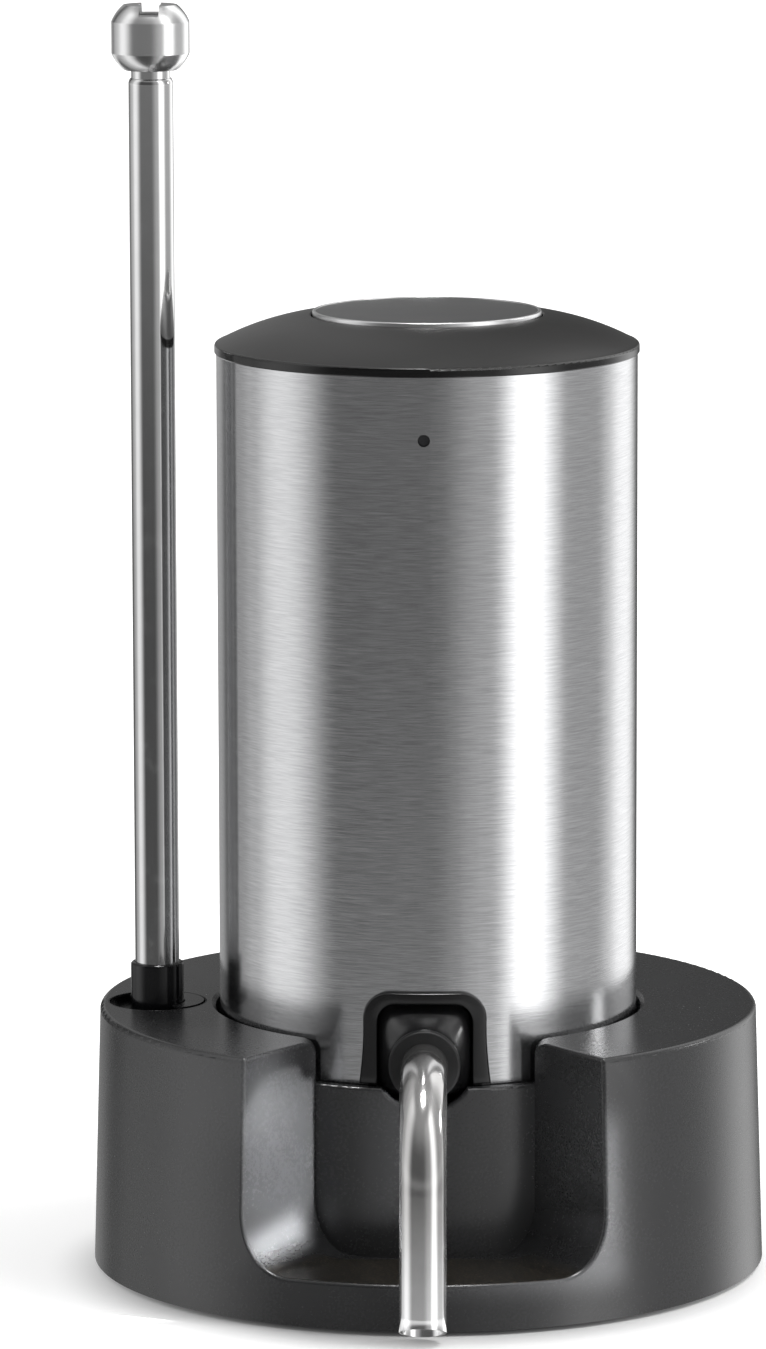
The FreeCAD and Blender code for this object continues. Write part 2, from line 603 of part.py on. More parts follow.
def mouth_shoulders():
    """What rounds the cup's mouth down into the slot, at the slot's two upper corners."""
    shoulders = []
    width = dim.shoulder + PAST
    front = CUP_OUTSIDE + dim.shoulder + PAST
    for side, word in ((-1, "left"), (1, "right")):
        corner = block(f"stand_corner_{word}", width, CUP_INSIDE, width,
                       side * (dim.slot_half_back + (dim.shoulder - PAST) / 2), -front,
                       BASE_HEIGHT - dim.shoulder)
        bend = rod(f"stand_bend_{word}", dim.shoulder, CUP_INSIDE + 2 * PAST,
                   side * (dim.slot_half_back + dim.shoulder), CUP_INSIDE - front + PAST,
                   BASE_HEIGHT - dim.shoulder, along="forward")
        shoulders.append(cut(f"stand_shoulder_{word}", corner, bend))
    return shoulders


def stand_housing():
    """The moulded stand: outer wall, top, cup with its ledge and well, and the slot."""
    blank = turned("stand_blank", [
        (0, dim.base_lift),
        (BASE_RADIUS, dim.base_lift),
        (BASE_TOP_RADIUS, BASE_HEIGHT - dim.base_edge),
        (BASE_TOP_RADIUS - dim.base_edge, BASE_HEIGHT, dim.base_edge),
        (0, BASE_HEIGHT),
    ])
    ring = turned("stand_hollow_ring", [
        (dim.well_radius + dim.well_wall, dim.base_lift - PAST),
        (BASE_RADIUS - dim.base_wall, dim.base_lift - PAST),
        (BASE_RADIUS - dim.base_wall, COVER_TOP),
        (BASE_TOP_RADIUS - dim.base_wall, BASE_HEIGHT - dim.base_wall),
        (CUP_OUTSIDE, BASE_HEIGHT - dim.base_wall),
        (CUP_OUTSIDE, SEAT_HEIGHT - dim.seat_wall),
        (dim.well_radius + dim.well_wall, SEAT_HEIGHT - dim.seat_wall),
    ])
    below_well = rod("stand_below_well", dim.well_radius + dim.well_wall + PAST,
                     WELL_FLOOR - dim.well_wall - dim.base_lift + PAST,
                     z=dim.base_lift - PAST)
    bosses = [rod(f"stand_boss_{angle}", dim.base_boss_radius,
                  BASE_HEIGHT - dim.base_wall / 2 - (COVER_TOP + dim.cover_boss_height),
                  *around(BASE_SCREW_CIRCLE, angle), COVER_TOP + dim.cover_boss_height)
              for angle in STAND_SCREW_ANGLES]
    slot_shell = shared(
        "stand_slot_shell",
        solid("stand_slot_outside", slot_cutter(float(dim.slot_wall))),
        rod("stand_slot_limit", BASE_RADIUS + PAST, BASE_HEIGHT, z=COVER_TOP))
    back_wall = rod("stand_back_wall", CUP_OUTSIDE, BASE_HEIGHT)
    back_bore = rod("stand_back_bore", CUP_INSIDE, SEAT_HEIGHT - dim.seat_wall - COVER_TOP,
                    z=COVER_TOP)
    slot_shell = cut("stand_slot_wall", slot_shell, back_bore)
    hollow = cut("stand_hollow", ring, slot_shell, *bosses)
    slot = joined(
        "stand_slot",
        cut("stand_slot_front", solid("stand_slot_low", slot_cutter(0)), back_wall),
        shared("stand_slot_upper", solid("stand_slot_high", slot_cutter(0)),
               rod("stand_slot_upper_limit", BASE_RADIUS + DEEP, BASE_HEIGHT,
                   z=PANEL_TOP)))
    cup = turned("stand_cup", [
        (0, WELL_FLOOR),
        (dim.well_radius, WELL_FLOOR),
        (dim.well_radius, SEAT_HEIGHT),
        (CUP_INSIDE, SEAT_HEIGHT),
        (CUP_INSIDE, BASE_HEIGHT - dim.lip_edge),
        (CUP_INSIDE + dim.lip_edge, BASE_HEIGHT),
        (CUP_INSIDE + dim.lip_edge, BASE_HEIGHT + PAST),
        (0, BASE_HEIGHT + PAST),
    ])
    scoop = rod("stand_scoop", dim.nose_radius + dim.scoop_gap, CUP_OUTSIDE + 2 * PAST,
                z=SPOUT_HEIGHT, along="forward")
    pilots = [rod(f"stand_pilot_{angle}", dim.base_screw_shank + dim.slip_gap / 2,
                  dim.base_screw_bite + PAST, *around(BASE_SCREW_CIRCLE, angle),
                  COVER_TOP + dim.cover_boss_height) for angle in STAND_SCREW_ANGLES]
    socket_hole = turned("stand_socket_hole", [
        (0, BASE_HEIGHT - dim.base_wall - PAST),
        (SOCKET_OUTSIDE + dim.socket_gap, BASE_HEIGHT - dim.base_wall - PAST),
        (SOCKET_OUTSIDE + dim.socket_gap, BASE_HEIGHT - dim.socket_flange),
        (dim.socket_flange_radius + dim.socket_gap, BASE_HEIGHT - dim.socket_flange),
        (dim.socket_flange_radius + dim.socket_gap, BASE_HEIGHT + PAST),
        (0, BASE_HEIGHT + PAST),
    ], *TUBE)
    housing = cut("stand_body", blank, hollow, below_well, slot, cup, scoop, socket_hole, *pilots)
    inner, outer = float(CUP_OUTSIDE), float(BASE_TOP_RADIUS - 0.3)
    floor, panel, top = float(SLOT_FLOOR), float(PANEL_TOP), float(BASE_HEIGHT)

    def on_rim(point):
        distance = math.hypot(point.x, point.y)
        wall = distance > outer and point.z > floor - 0.1
        crest = abs(point.z - top) < 0.05 and inner + 0.5 < distance < outer - 1
        return point.y < -abs(point.x) and (wall or crest)

    def on_panel(point):
        distance = math.hypot(point.x, point.y)
        side = abs(point.x) < float(dim.slot_half_back) - 1
        height = floor + 9 < point.z < panel + 0.1
        return point.y < 0 and side and height and abs(distance - inner) < 0.05
    housing = rounded("stand_panel_edge", rounded("stand_rim_edge", housing, dim.slot_edge, on_rim),
                      dim.panel_edge, on_panel)
    notch = block("stand_notch", 2 * dim.slot_half_back, CUP_INSIDE,
                  BASE_HEIGHT - PANEL_TOP + PAST, y=-(CUP_OUTSIDE + PAST), z=PANEL_TOP)
    return cut("stand_moulding", housing, notch, *mouth_shoulders())


def stand_cover():
    """The plate that closes the stand from below."""
    plate = turned("cover_plate", [
        (0, RECESS_TOP),
        (PAD_RADIUS + dim.pad_gap, RECESS_TOP),
        (PAD_RADIUS + dim.pad_gap, dim.cover_rim_height),
        (COVER_RADIUS, dim.cover_rim_height),
        (COVER_RADIUS, COVER_TOP),
        (0, COVER_TOP),
    ])
    bosses, holes = [], []
    for angle in STAND_SCREW_ANGLES:
        x, y = around(BASE_SCREW_CIRCLE, angle)
        bosses.append(rod(f"cover_boss_{angle}",
                          dim.base_screw_head + dim.slip_gap + dim.boss_wall,
                          dim.cover_boss_height + dim.cover_wall, x, y, RECESS_TOP))
        holes.append(rod(f"cover_hole_{angle}", dim.base_screw_shank + dim.slip_gap, DEEP, x, y))
        holes.append(rod(f"cover_sink_{angle}", dim.base_screw_head + dim.slip_gap,
                         dim.base_screw_head_height + dim.base_screw_sink, x, y, RECESS_TOP))
    return cut("stand_cover", joined("cover_body", plate, *bosses), *holes)


def screws(name, circle, angles, head_radius, head_bottom, head_height, shank, bite):
    """Pan-head screws that are driven upwards, standing on a circle."""
    head_top = head_bottom + head_height
    pieces = []
    for angle in angles:
        pieces.append(turned(f"{name}_{angle}", [
            (0, head_bottom + head_height / 2),
            (head_radius / 3, head_bottom + head_height / 2),
            (head_radius / 3, head_bottom),
            (head_radius * 0.8, head_bottom),
            (head_radius, head_bottom + head_height * 0.4),
            (head_radius, head_top),
            (shank, head_top),
            (shank, head_top + bite),
            (0, head_top + bite),
        ], *around(circle, angle)))
    return group(name, pieces)


keep("base_housing", stand_housing())
keep("base_bottom_cover", stand_cover())
keep("base_foot_pad", rod("foot_pad", PAD_RADIUS, RECESS_TOP))
keep("base_cover_screws", screws(
    "stand_screws", BASE_SCREW_CIRCLE, STAND_SCREW_ANGLES, dim.base_screw_head,
    RECESS_TOP + dim.base_screw_sink, dim.base_screw_head_height, dim.base_screw_shank,
    dim.cover_wall + dim.cover_boss_height + dim.base_screw_bite - dim.base_screw_sink
    - dim.base_screw_head_height))
keep("tube_socket", turned("socket", [
    (0, dim.socket_floor - dim.socket_wall),
    (SOCKET_OUTSIDE, dim.socket_floor - dim.socket_wall),
    (SOCKET_OUTSIDE, BASE_HEIGHT - dim.socket_flange),
    (dim.socket_flange_radius, BASE_HEIGHT - dim.socket_flange),
    (dim.socket_flange_radius, BASE_HEIGHT),
    (SOCKET_INSIDE, BASE_HEIGHT),
    (SOCKET_INSIDE, dim.socket_floor),
    (0, dim.socket_floor),
], *TUBE))

# ---------------------------------------------------------------- suction tube
TUBE_BORE = dim.tube_radius - dim.tube_wall
CRIMP_BORE = dim.inner_radius + dim.inner_gap
CRIMP_BOTTOM = TUBE_TOP - dim.tube_crimp
INNER_BOTTOM = SLEEVE_SHELF + dim.inner_bottom_gap

keep("tube_sleeve", turned("silicone_sleeve", [
    (dim.wine_bore, dim.socket_floor),
    (dim.sleeve_radius, dim.socket_floor),
    (dim.sleeve_radius, SLEEVE_TOP - dim.sleeve_edge),
    (dim.sleeve_radius - dim.sleeve_edge, SLEEVE_TOP, dim.sleeve_edge),
    (dim.tube_radius, SLEEVE_TOP),
    (dim.tube_radius, SLEEVE_SHELF),
    (dim.wine_bore, SLEEVE_SHELF),
], *TUBE))
keep("suction_tube_outer", turned("outer_section", [
    (TUBE_BORE, SLEEVE_SHELF),
    (dim.tube_radius, SLEEVE_SHELF),
    (dim.tube_radius, CRIMP_BOTTOM),
    (CRIMP_BORE + dim.crimp_land, TUBE_TOP, dim.tube_crimp + dim.crimp_ease),
    (CRIMP_BORE, TUBE_TOP),
    (CRIMP_BORE, CRIMP_BOTTOM),
    (TUBE_BORE, CRIMP_BOTTOM - dim.crimp_taper),
], *TUBE))
keep("suction_tube_inner", sleeve(
    "inner_section", dim.inner_radius - dim.inner_wall, dim.inner_radius, INNER_BOTTOM,
    FOOT_BOTTOM + dim.foot_socket, *TUBE))
keep("tube_friction_ring", sleeve(
    "friction_ring", dim.inner_radius, TUBE_BORE - dim.ring_gap, INNER_BOTTOM,
    INNER_BOTTOM + dim.ring_length, *TUBE))


def inlet_foot():
    """The slotted ball that keeps the tube's end off the bottom of the bottle."""
    ball = doc.addObject("Part::Sphere", "foot_ball")
    bind(ball, "Radius", dim.foot_sphere)
    put(ball, *TUBE, FOOT_BOTTOM + dim.foot_height / 2)
    band = shared("foot_band", ball, rod("foot_blank", dim.foot_radius, dim.foot_height,
                                         *TUBE, FOOT_BOTTOM))
    seat = rod("foot_seat", dim.inner_radius, dim.foot_socket, *TUBE, FOOT_BOTTOM)
    bore = rod("foot_bore_hole", dim.foot_bore, dim.foot_height, *TUBE, FOOT_BOTTOM)
    slot = block("foot_slot_cut", dim.foot_slot, 4 * dim.foot_radius, dim.foot_slot_depth + PAST,
                 -TUBE_X, -dim.tube_y - 2 * dim.foot_radius,
                 FOOT_BOTTOM + dim.foot_height - dim.foot_slot_depth)
    return cut("ball_foot", band, seat, bore, slot)


keep("tube_inlet_foot", inlet_foot())


# ---------------------------------------------------------------- dispenser body
def arch_of(name, inset, low, front, back):
    """The spout frame's arch outline, drawn in by an inset."""
    return arch(name, float(dim.frame_half) - inset, low, float(FRAME_TOP) - inset,
                float(dim.frame_corner) - inset, -front, -back)


FRAME_FOOT = float(PANEL_TOP + dim.frame_foot_gap)
LIP_INSET = float(dim.frame_band_side - dim.frame_lip)
FRAME_FRONT = float(SHELL_RADIUS + dim.frame_proud) + 3 * PAST
FRAME_BACK = math.sqrt(float(SHELL_INSIDE - dim.lip_depth) ** 2 - float(dim.frame_half) ** 2) - PAST
PORT_CORNER = 0.92  # corner radius as a share of the port's half height


def steel_shell():
    """The brushed steel tube with its notch for the spout, light hole and port hole."""
    tube = sleeve("shell_tube", SHELL_INSIDE, SHELL_RADIUS, SHELL_BOTTOM, SHELL_TOP)
    notch = arch_of("shell_notch", LIP_INSET - float(dim.slip_gap), float(SHELL_BOTTOM) - PAST,
                    FRAME_FRONT, FRAME_BACK)
    light = rod("shell_light_hole", dim.led_hole, SHELL_RADIUS + PAST, z=LED_HEIGHT,
                along="forward")
    port = solid("shell_port_hole", port_bar(float(dim.port_hole_gap), float(PORT_MOUTH) - PAST,
                                             float(SHELL_RADIUS) + PAST))
    return cut("shell", tube, notch, light, port)


def port_bar(grow, front, back):
    """A flat-oval bar the shape of the charging port, from one y back to another."""
    half_width = float(dim.port_width / 2) + grow
    half_height = float(dim.port_height / 2) + grow
    middle = float(BOARD_BOTTOM) - float(dim.port_height / 2)
    wire = rounded_outline(half_width, middle - half_height, middle + half_height,
                           half_height * PORT_CORNER, front)
    return Part.Face(wire).extrude(FreeCAD.Vector(0, back - front, 0))


def top_cap():
    """The black cap: rim band, crowned slope, button pocket, skirt, spring well and posts."""
    skirt = SHELL_INSIDE - dim.slip_gap
    rim_top = SHELL_TOP + dim.cap_rim
    pocket = dim.button_radius + dim.button_gap
    well_floor = POCKET_FLOOR - dim.spring_well_depth
    shell = turned("cap_shell", [
        (0, POCKET_FLOOR - dim.cap_wall),
        (dim.button_radius + dim.cap_shoulder, POCKET_FLOOR - dim.cap_wall),
        (SKIRT_INSIDE, SHELL_TOP - dim.cap_seat),
        (SKIRT_INSIDE, SHELL_TOP - dim.cap_skirt),
        (skirt, SHELL_TOP - dim.cap_skirt),
        (skirt, SHELL_TOP),
        (CAP_RADIUS - dim.cap_bevel, SHELL_TOP),
        (CAP_RADIUS, SHELL_TOP + dim.cap_bevel),
        (CAP_RADIUS, rim_top - dim.cap_edge),
        (CAP_RADIUS - dim.cap_edge, rim_top, dim.cap_edge),
        (pocket + dim.pocket_bevel, CAP_CROWN, dim.cap_arch),
        (pocket, CAP_CROWN - dim.pocket_bevel),
        (pocket, POCKET_FLOOR),
        (0, POCKET_FLOOR),
    ])
    well = rod("cap_well", dim.spring_well_radius + dim.spring_well_wall,
               dim.spring_well_depth + dim.spring_well_wall,
               z=well_floor - dim.spring_well_wall)
    well_hole = rod("cap_well_hole", dim.spring_well_radius, dim.spring_well_depth + PAST,
                    z=well_floor)
    guide = rod("cap_guide", dim.stem_radius + dim.stem_gap, DEEP,
                z=well_floor - dim.spring_well_wall - PAST)
    posts, pilots = [], []
    for angle in CAP_POST_ANGLES:
        x, y = around(POST_CIRCLE, angle)
        posts.append(rod(f"cap_post_{angle}", dim.cap_post_radius,
                         rim_top - UPPER_DECK, x, y, UPPER_DECK))
        pilots.append(rod(f"cap_pilot_{angle}", dim.cover_screw_shank + dim.slip_gap / 2,
                          dim.cover_screw_bite + PAST, x, y, UPPER_DECK))
    body = joined("cap_body", shell, well, *posts)
    return cut("cap", body, well_hole, guide, *pilots)


keep("steel_shell", steel_shell())
keep("top_cap", top_cap())

keep("button_disc", turned("button_plate", [
    (0, STEM_BOTTOM),
    (dim.stem_radius, STEM_BOTTOM),
    (dim.stem_radius, BUTTON_TOP - dim.button_thick),
    (dim.button_radius - dim.button_rim, BUTTON_TOP - dim.button_thick),
    (dim.button_radius - dim.button_rim, BUTTON_TOP - dim.button_inset),
    (0, BUTTON_TOP - dim.button_inset),
]))
keep("button_rim_ring", turned("button_ring", [
    (dim.button_radius - dim.button_rim, BUTTON_TOP - dim.button_thick),
    (dim.button_radius, BUTTON_TOP - dim.button_thick),
    (dim.button_radius, BUTTON_TOP - dim.button_rim / 2),
    (dim.button_radius - dim.button_rim / 2, BUTTON_TOP),
    (dim.button_radius - dim.button_rim, BUTTON_TOP),
]))


def button_spring():
    """The coil spring around the button's stem, from the well's floor to the button."""
    wire, coil = float(dim.spring_wire), float(dim.spring_coil)
    low = float(POCKET_FLOOR) - float(dim.spring_well_depth) + wire
    high = float(BUTTON_TOP - dim.button_thick) - wire
    helix = Part.makeHelix(float(dim.spring_pitch), high - low, coil)
    section = Part.Wire(Part.makeCircle(wire, FreeCAD.Vector(coil, 0, 0),
                                        FreeCAD.Vector(0, 1, 0)))
    coil_shape = Part.Wire(helix.Edges).makePipeShell([section], True, True)
    coil_shape.translate(FreeCAD.Vector(0, 0, low))
    return solid("spring_coil_wire", coil_shape)


keep("button_spring", button_spring())

# ---------------------------------------------------------------- electronics
keep("circuit_board", cut(
    "board",
    joined("board_blank", rod("board_disc", BOARD_RADIUS, dim.board_thick, z=BOARD_BOTTOM),
           block("board_tongue", dim.port_width + 2 * dim.port_shelf,
                 PORT_MOUTH - dim.port_depth / 3, dim.board_thick, z=BOARD_BOTTOM)),
    *[rod(f"board_hole_{angle}", dim.board_screw_shank + dim.slip_gap,
          dim.board_thick + 2 * PAST, *around(BOARD_SCREW_CIRCLE, angle),
          BOARD_BOTTOM - PAST) for angle in BOARD_SCREW_ANGLES]))
keep("tact_switch", joined(
    "switch",
    block("switch_body", dim.switch_side, dim.switch_side, dim.switch_height,
          y=-dim.switch_side / 2, z=BOARD_TOP),
    rod("switch_actuator", dim.switch_pin, dim.switch_height + dim.switch_rise, z=BOARD_TOP)))
# Each chip's width, depth and height, then its middle and its front edge on the board.
CHIPS = {
    "charge_chip": (5.0, 4.0, 1.5, -10.0, 4.0),
    "control_chip": (4.0, 5.0, 1.5, 9.5, 3.0),
    "motor_driver": (3.0, 3.0, 1.2, 9.0, -9.0),
    "inductor": (4.0, 4.0, 2.2, -9.0, -9.0),
}
keep("board_chips", group("chips", [
    block(chip, *size_and_place, BOARD_TOP) for chip, size_and_place in CHIPS.items()]))
keep("status_led", block("led", dim.led_width, dim.led_depth, dim.board_drop + dim.led_over,
                         y=-BOARD_RADIUS + dim.led_inset, z=BOARD_TOP))
keep("board_screws", group("board_screw_set", [
    joined(f"board_screw_{angle}",
           rod(f"board_screw_head_{angle}", dim.board_screw_head, dim.board_screw_rise,
               *around(BOARD_SCREW_CIRCLE, angle), BOARD_TOP),
           rod(f"board_screw_shank_{angle}", dim.board_screw_shank,
               dim.board_thick + dim.board_standoff + dim.deck_wall,
               *around(BOARD_SCREW_CIRCLE, angle), UPPER_DECK - dim.deck_wall))
    for angle in BOARD_SCREW_ANGLES]))
keep("led_light_pipe", rod("light_pipe", dim.pipe_radius,
                           SHELL_RADIUS - dim.pipe_inset - BOARD_RADIUS,
                           y=-BOARD_RADIUS, z=LED_HEIGHT, along="forward"))


def charging_port():
    """The sheet-metal charging socket with the tongue that carries its contacts."""
    mouth = float(PORT_MOUTH)
    front = mouth - float(dim.port_depth)
    shell = port_bar(0, front, mouth)
    wall = float(dim.port_shell)
    hollow = port_bar(-wall, front + wall, mouth + PAST)
    width = float(dim.port_width - 2 * dim.port_tongue_side)
    tongue = Part.makeBox(
        width, float(dim.port_depth - dim.port_tongue_back), float(dim.port_tongue),
        FreeCAD.Vector(-width / 2, front,
                       float(BOARD_BOTTOM - dim.port_height / 2 - dim.port_tongue / 2)))
    return solid("port", shell.cut(hollow).fuse(tongue))


keep("charging_port", charging_port())


# ---------------------------------------------------------------- inner frame, cell, pump
def inner_frame():
    """The moulded carrier: two decks, the web between them, posts and a light-pipe holder."""
    lower = rod("frame_lower_deck", DECK_RADIUS, dim.deck_wall, z=LOWER_DECK - dim.deck_wall)
    upper = rod("frame_upper_deck", DECK_RADIUS, dim.deck_wall, z=UPPER_DECK - dim.deck_wall)
    web = block("frame_web", dim.web_width, dim.web_depth,
                UPPER_DECK - LOWER_DECK + dim.deck_wall,
                -dim.web_left, -dim.web_depth / 2, LOWER_DECK - dim.deck_wall)
    posts, holes = [], []
    for angle in COVER_POST_ANGLES:
        x, y = around(COVER_SCREW_CIRCLE, angle)
        posts.append(rod(f"frame_post_{angle}", dim.post_radius,
                         LOWER_DECK - dim.deck_wall / 2 - NECK_STEP, x, y, NECK_STEP))
        holes.append(rod(f"frame_pilot_{angle}", dim.cover_screw_shank + dim.slip_gap / 2,
                         dim.cover_screw_bite + PAST, x, y, NECK_STEP))
    for angle in BOARD_SCREW_ANGLES:
        x, y = around(BOARD_SCREW_CIRCLE, angle)
        posts.append(rod(f"frame_standoff_{angle}", dim.board_screw_shank + dim.boss_wall,
                         dim.board_standoff + dim.deck_wall / 2, x, y,
                         UPPER_DECK - dim.deck_wall / 2))
        holes.append(through_deck(f"frame_board_hole_{angle}",
                                  dim.board_screw_shank + dim.slip_gap / 2, x, y, UPPER_DECK))
    for angle in CAP_POST_ANGLES:
        holes.append(through_deck(f"frame_cap_hole_{angle}", dim.cover_screw_shank + dim.slip_gap,
                                  *around(POST_CIRCLE, angle), UPPER_DECK))
    holder = block("frame_pipe_holder", 2 * (dim.pipe_radius + dim.holder_wall), dim.holder_depth,
                   LED_HEIGHT - UPPER_DECK + dim.pipe_radius + dim.holder_wall
                   + dim.deck_wall / 2,
                   y=-DECK_RADIUS + dim.holder_inset, z=UPPER_DECK - dim.deck_wall / 2)
    holes.append(rod("frame_pipe_hole", dim.pipe_radius + dim.slip_gap / 2, DECK_RADIUS,
                     y=-BOARD_RADIUS, z=LED_HEIGHT, along="forward"))
    holes.append(block("frame_port_gap", dim.port_width + 2 * dim.port_room, DEEP, DEEP,
                       y=PORT_MOUTH - dim.port_depth - dim.port_room,
                       z=UPPER_DECK - dim.deck_wall - PAST))
    holes.append(through_deck("frame_nozzle_hole", HOSE_RADIUS + dim.passage_gap,
                              PUMP_X, 0, LOWER_DECK))
    wires = [(PUMP_X, offset) for offset in LEAD_OFFSETS]
    wires += [(-CELL_X, 0), (-CELL_X, CELL_LEAD_Y)]
    for count, (x, y) in enumerate(wires):
        holes.append(through_deck(f"frame_wire_hole_{count}", dim.lead_radius + dim.passage_gap,
                                  x, y, UPPER_DECK))
    return cut("carrier", joined("carrier_body", lower, upper, web, holder, *posts), *holes)


def through_deck(name, radius, x, y, deck):
    """The tool for a round hole through one of the decks and a standoff on it."""
    return rod(name, radius, dim.deck_wall + dim.board_standoff + 2 * PAST, x, y,
               deck - dim.deck_wall - PAST)


keep("inner_frame", inner_frame())
keep("lithium_cell", joined(
    "cell",
    rod("cell_can", dim.cell_radius, dim.cell_length, -CELL_X, 0, LOWER_DECK),
    rod("cell_contact", dim.cell_radius / 3, dim.cell_length + dim.cell_button,
        -CELL_X, 0, LOWER_DECK)))
PUMP_SEAM = LOWER_DECK + dim.pump_seam_height
MOTOR_BOTTOM = LOWER_DECK + dim.pump_head_height
keep("air_pump_head", cut(
    "pump_head",
    joined("pump_head_body",
           rod("pump_head_blank", dim.pump_radius, dim.pump_head_height, PUMP_X, 0,
               LOWER_DECK),
           rod("pump_nozzle", dim.nozzle_radius, dim.nozzle_length + PAST, PUMP_X, 0,
               LOWER_DECK - dim.nozzle_length)),
    rod("pump_nozzle_bore", dim.nozzle_bore, dim.nozzle_length + 2 * PAST, PUMP_X, 0,
        LOWER_DECK - dim.nozzle_length),
    sleeve("pump_seam_groove", dim.pump_radius - dim.pump_seam_depth, dim.pump_radius + PAST,
           PUMP_SEAM, PUMP_SEAM + dim.pump_seam, PUMP_X)))
keep("air_pump_motor", rod("motor_can", dim.motor_radius, dim.motor_height, PUMP_X, 0,
                           MOTOR_BOTTOM))
keep("motor_leads", group("motor_wires", [
    rod(f"motor_wire_{side}", dim.lead_radius, BOARD_BOTTOM - MOTOR_BOTTOM - dim.motor_height,
        PUMP_X, offset, MOTOR_BOTTOM + dim.motor_height)
    for side, offset in enumerate(LEAD_OFFSETS)]))
CELL_TOP = LOWER_DECK + dim.cell_length + dim.cell_button
keep("cell_leads", group("cell_wires", [
    rod("cell_wire_plus", dim.lead_radius, BOARD_BOTTOM - CELL_TOP, -CELL_X, 0, CELL_TOP),
    rod("cell_wire_minus", dim.lead_radius, BOARD_BOTTOM - LOWER_DECK,
        -CELL_X, CELL_LEAD_Y, LOWER_DECK)]))
keep("cap_screws", screws(
    "cap_screw_set", POST_CIRCLE, CAP_POST_ANGLES, dim.cover_screw_head,
    UPPER_DECK - dim.deck_wall - dim.cover_screw_rise, dim.cover_screw_rise,
    dim.cover_screw_shank, dim.deck_wall + dim.cover_screw_bite))

# ---------------------------------------------------------------- bottom cover, stopper, wine path
AIR_NIPPLE_TOP = NECK_STEP + dim.nozzle_length
STOPPER_RIBS = 3


def bottom_cover():
    """The dispenser's bottom: flange, step, plate and the neck with its two channels."""
    body = turned("bottom_body", [
        (0, NECK_BOTTOM),
        (dim.neck_radius, NECK_BOTTOM),
        (dim.neck_radius, SEAT_HEIGHT),
        (FLANGE_RADIUS, SEAT_HEIGHT),
        (FLANGE_RADIUS, SHELL_BOTTOM),
        (SHELL_INSIDE - dim.slip_gap, SHELL_BOTTOM),
        (SHELL_INSIDE - dim.slip_gap, NECK_STEP),
        (SHELL_INSIDE - dim.slip_gap - dim.spigot_wall, NECK_STEP),
        (0, NECK_STEP),
    ])
    nipple = rod("bottom_air_nipple", dim.nozzle_radius, AIR_NIPPLE_TOP - SEAT_HEIGHT,
                 0, AIR_PORT_Y, SEAT_HEIGHT)
    tools = [
        rod("bottom_wine_bore", dim.wine_bore, NECK_STEP),
        rod("bottom_elbow_seat", dim.elbow_radius + dim.slip_gap / 2, dim.elbow_depth + PAST,
            z=NECK_STEP - dim.elbow_depth),
        rod("bottom_air_bore", dim.nozzle_bore, AIR_NIPPLE_TOP + PAST, 0, AIR_PORT_Y),
        block("bottom_nose_gap", 2 * (dim.frame_half - dim.frame_band_side + dim.frame_lip),
              dim.bottom_gap_depth + PAST, DEEP, y=-SHELL_RADIUS - PAST, z=SHELL_BOTTOM),
    ]
    for angle in COVER_POST_ANGLES:
        x, y = around(COVER_SCREW_CIRCLE, angle)
        tools.append(rod(f"bottom_screw_hole_{angle}", dim.cover_screw_shank + dim.slip_gap, DEEP,
                         x, y, SEAT_HEIGHT - PAST))
        tools.append(rod(f"bottom_screw_sink_{angle}", dim.cover_screw_head + dim.slip_gap,
                         dim.cover_screw_sink + PAST, x, y, SEAT_HEIGHT - PAST))
    return cut("bottom", joined("bottom_blank", body, nipple), *tools)


keep("bottom_cover", bottom_cover())
keep("bottom_cover_screws", screws(
    "bottom_screws", COVER_SCREW_CIRCLE, COVER_POST_ANGLES, dim.cover_screw_head,
    SEAT_HEIGHT + dim.cover_screw_sink - dim.cover_screw_rise, dim.cover_screw_rise,
    dim.cover_screw_shank,
    NECK_STEP - SEAT_HEIGHT - dim.cover_screw_sink + dim.cover_screw_bite))
INLET_SEAT = dim.wine_bore - dim.inlet_gap
keep("wine_inlet", turned("wine_inlet_tube", [
    (INLET_SEAT - dim.inlet_wall, INLET_BOTTOM),
    (dim.inlet_radius, INLET_BOTTOM),
    (dim.inlet_radius, NECK_BOTTOM),
    (INLET_SEAT, NECK_BOTTOM),
    (INLET_SEAT, NECK_BOTTOM + dim.inlet_depth),
    (INLET_SEAT - dim.inlet_wall, NECK_BOTTOM + dim.inlet_depth),
]))


def stopper():
    """The silicone stopper: three thin ribs below one tall band, on the neck."""
    foot = NECK_BOTTOM + dim.stopper_foot
    profile = [(dim.neck_radius, foot), (dim.stopper_core - dim.stopper_chamfer, foot)]
    for rib in range(STOPPER_RIBS):
        low = foot + dim.stopper_chamfer + rib * (dim.stopper_rib + dim.stopper_groove)
        profile += [(dim.stopper_core, low),
                    (dim.stopper_radius, low + dim.stopper_lead),
                    (dim.stopper_radius, low + dim.stopper_rib),
                    (dim.stopper_core, low + dim.stopper_rib + dim.stopper_back)]
    band = SEAT_HEIGHT - dim.stopper_band
    profile += [(dim.stopper_core, band), (dim.stopper_radius, band),
                (dim.stopper_radius, SEAT_HEIGHT), (dim.neck_radius, SEAT_HEIGHT)]
    return turned("stopper", profile)


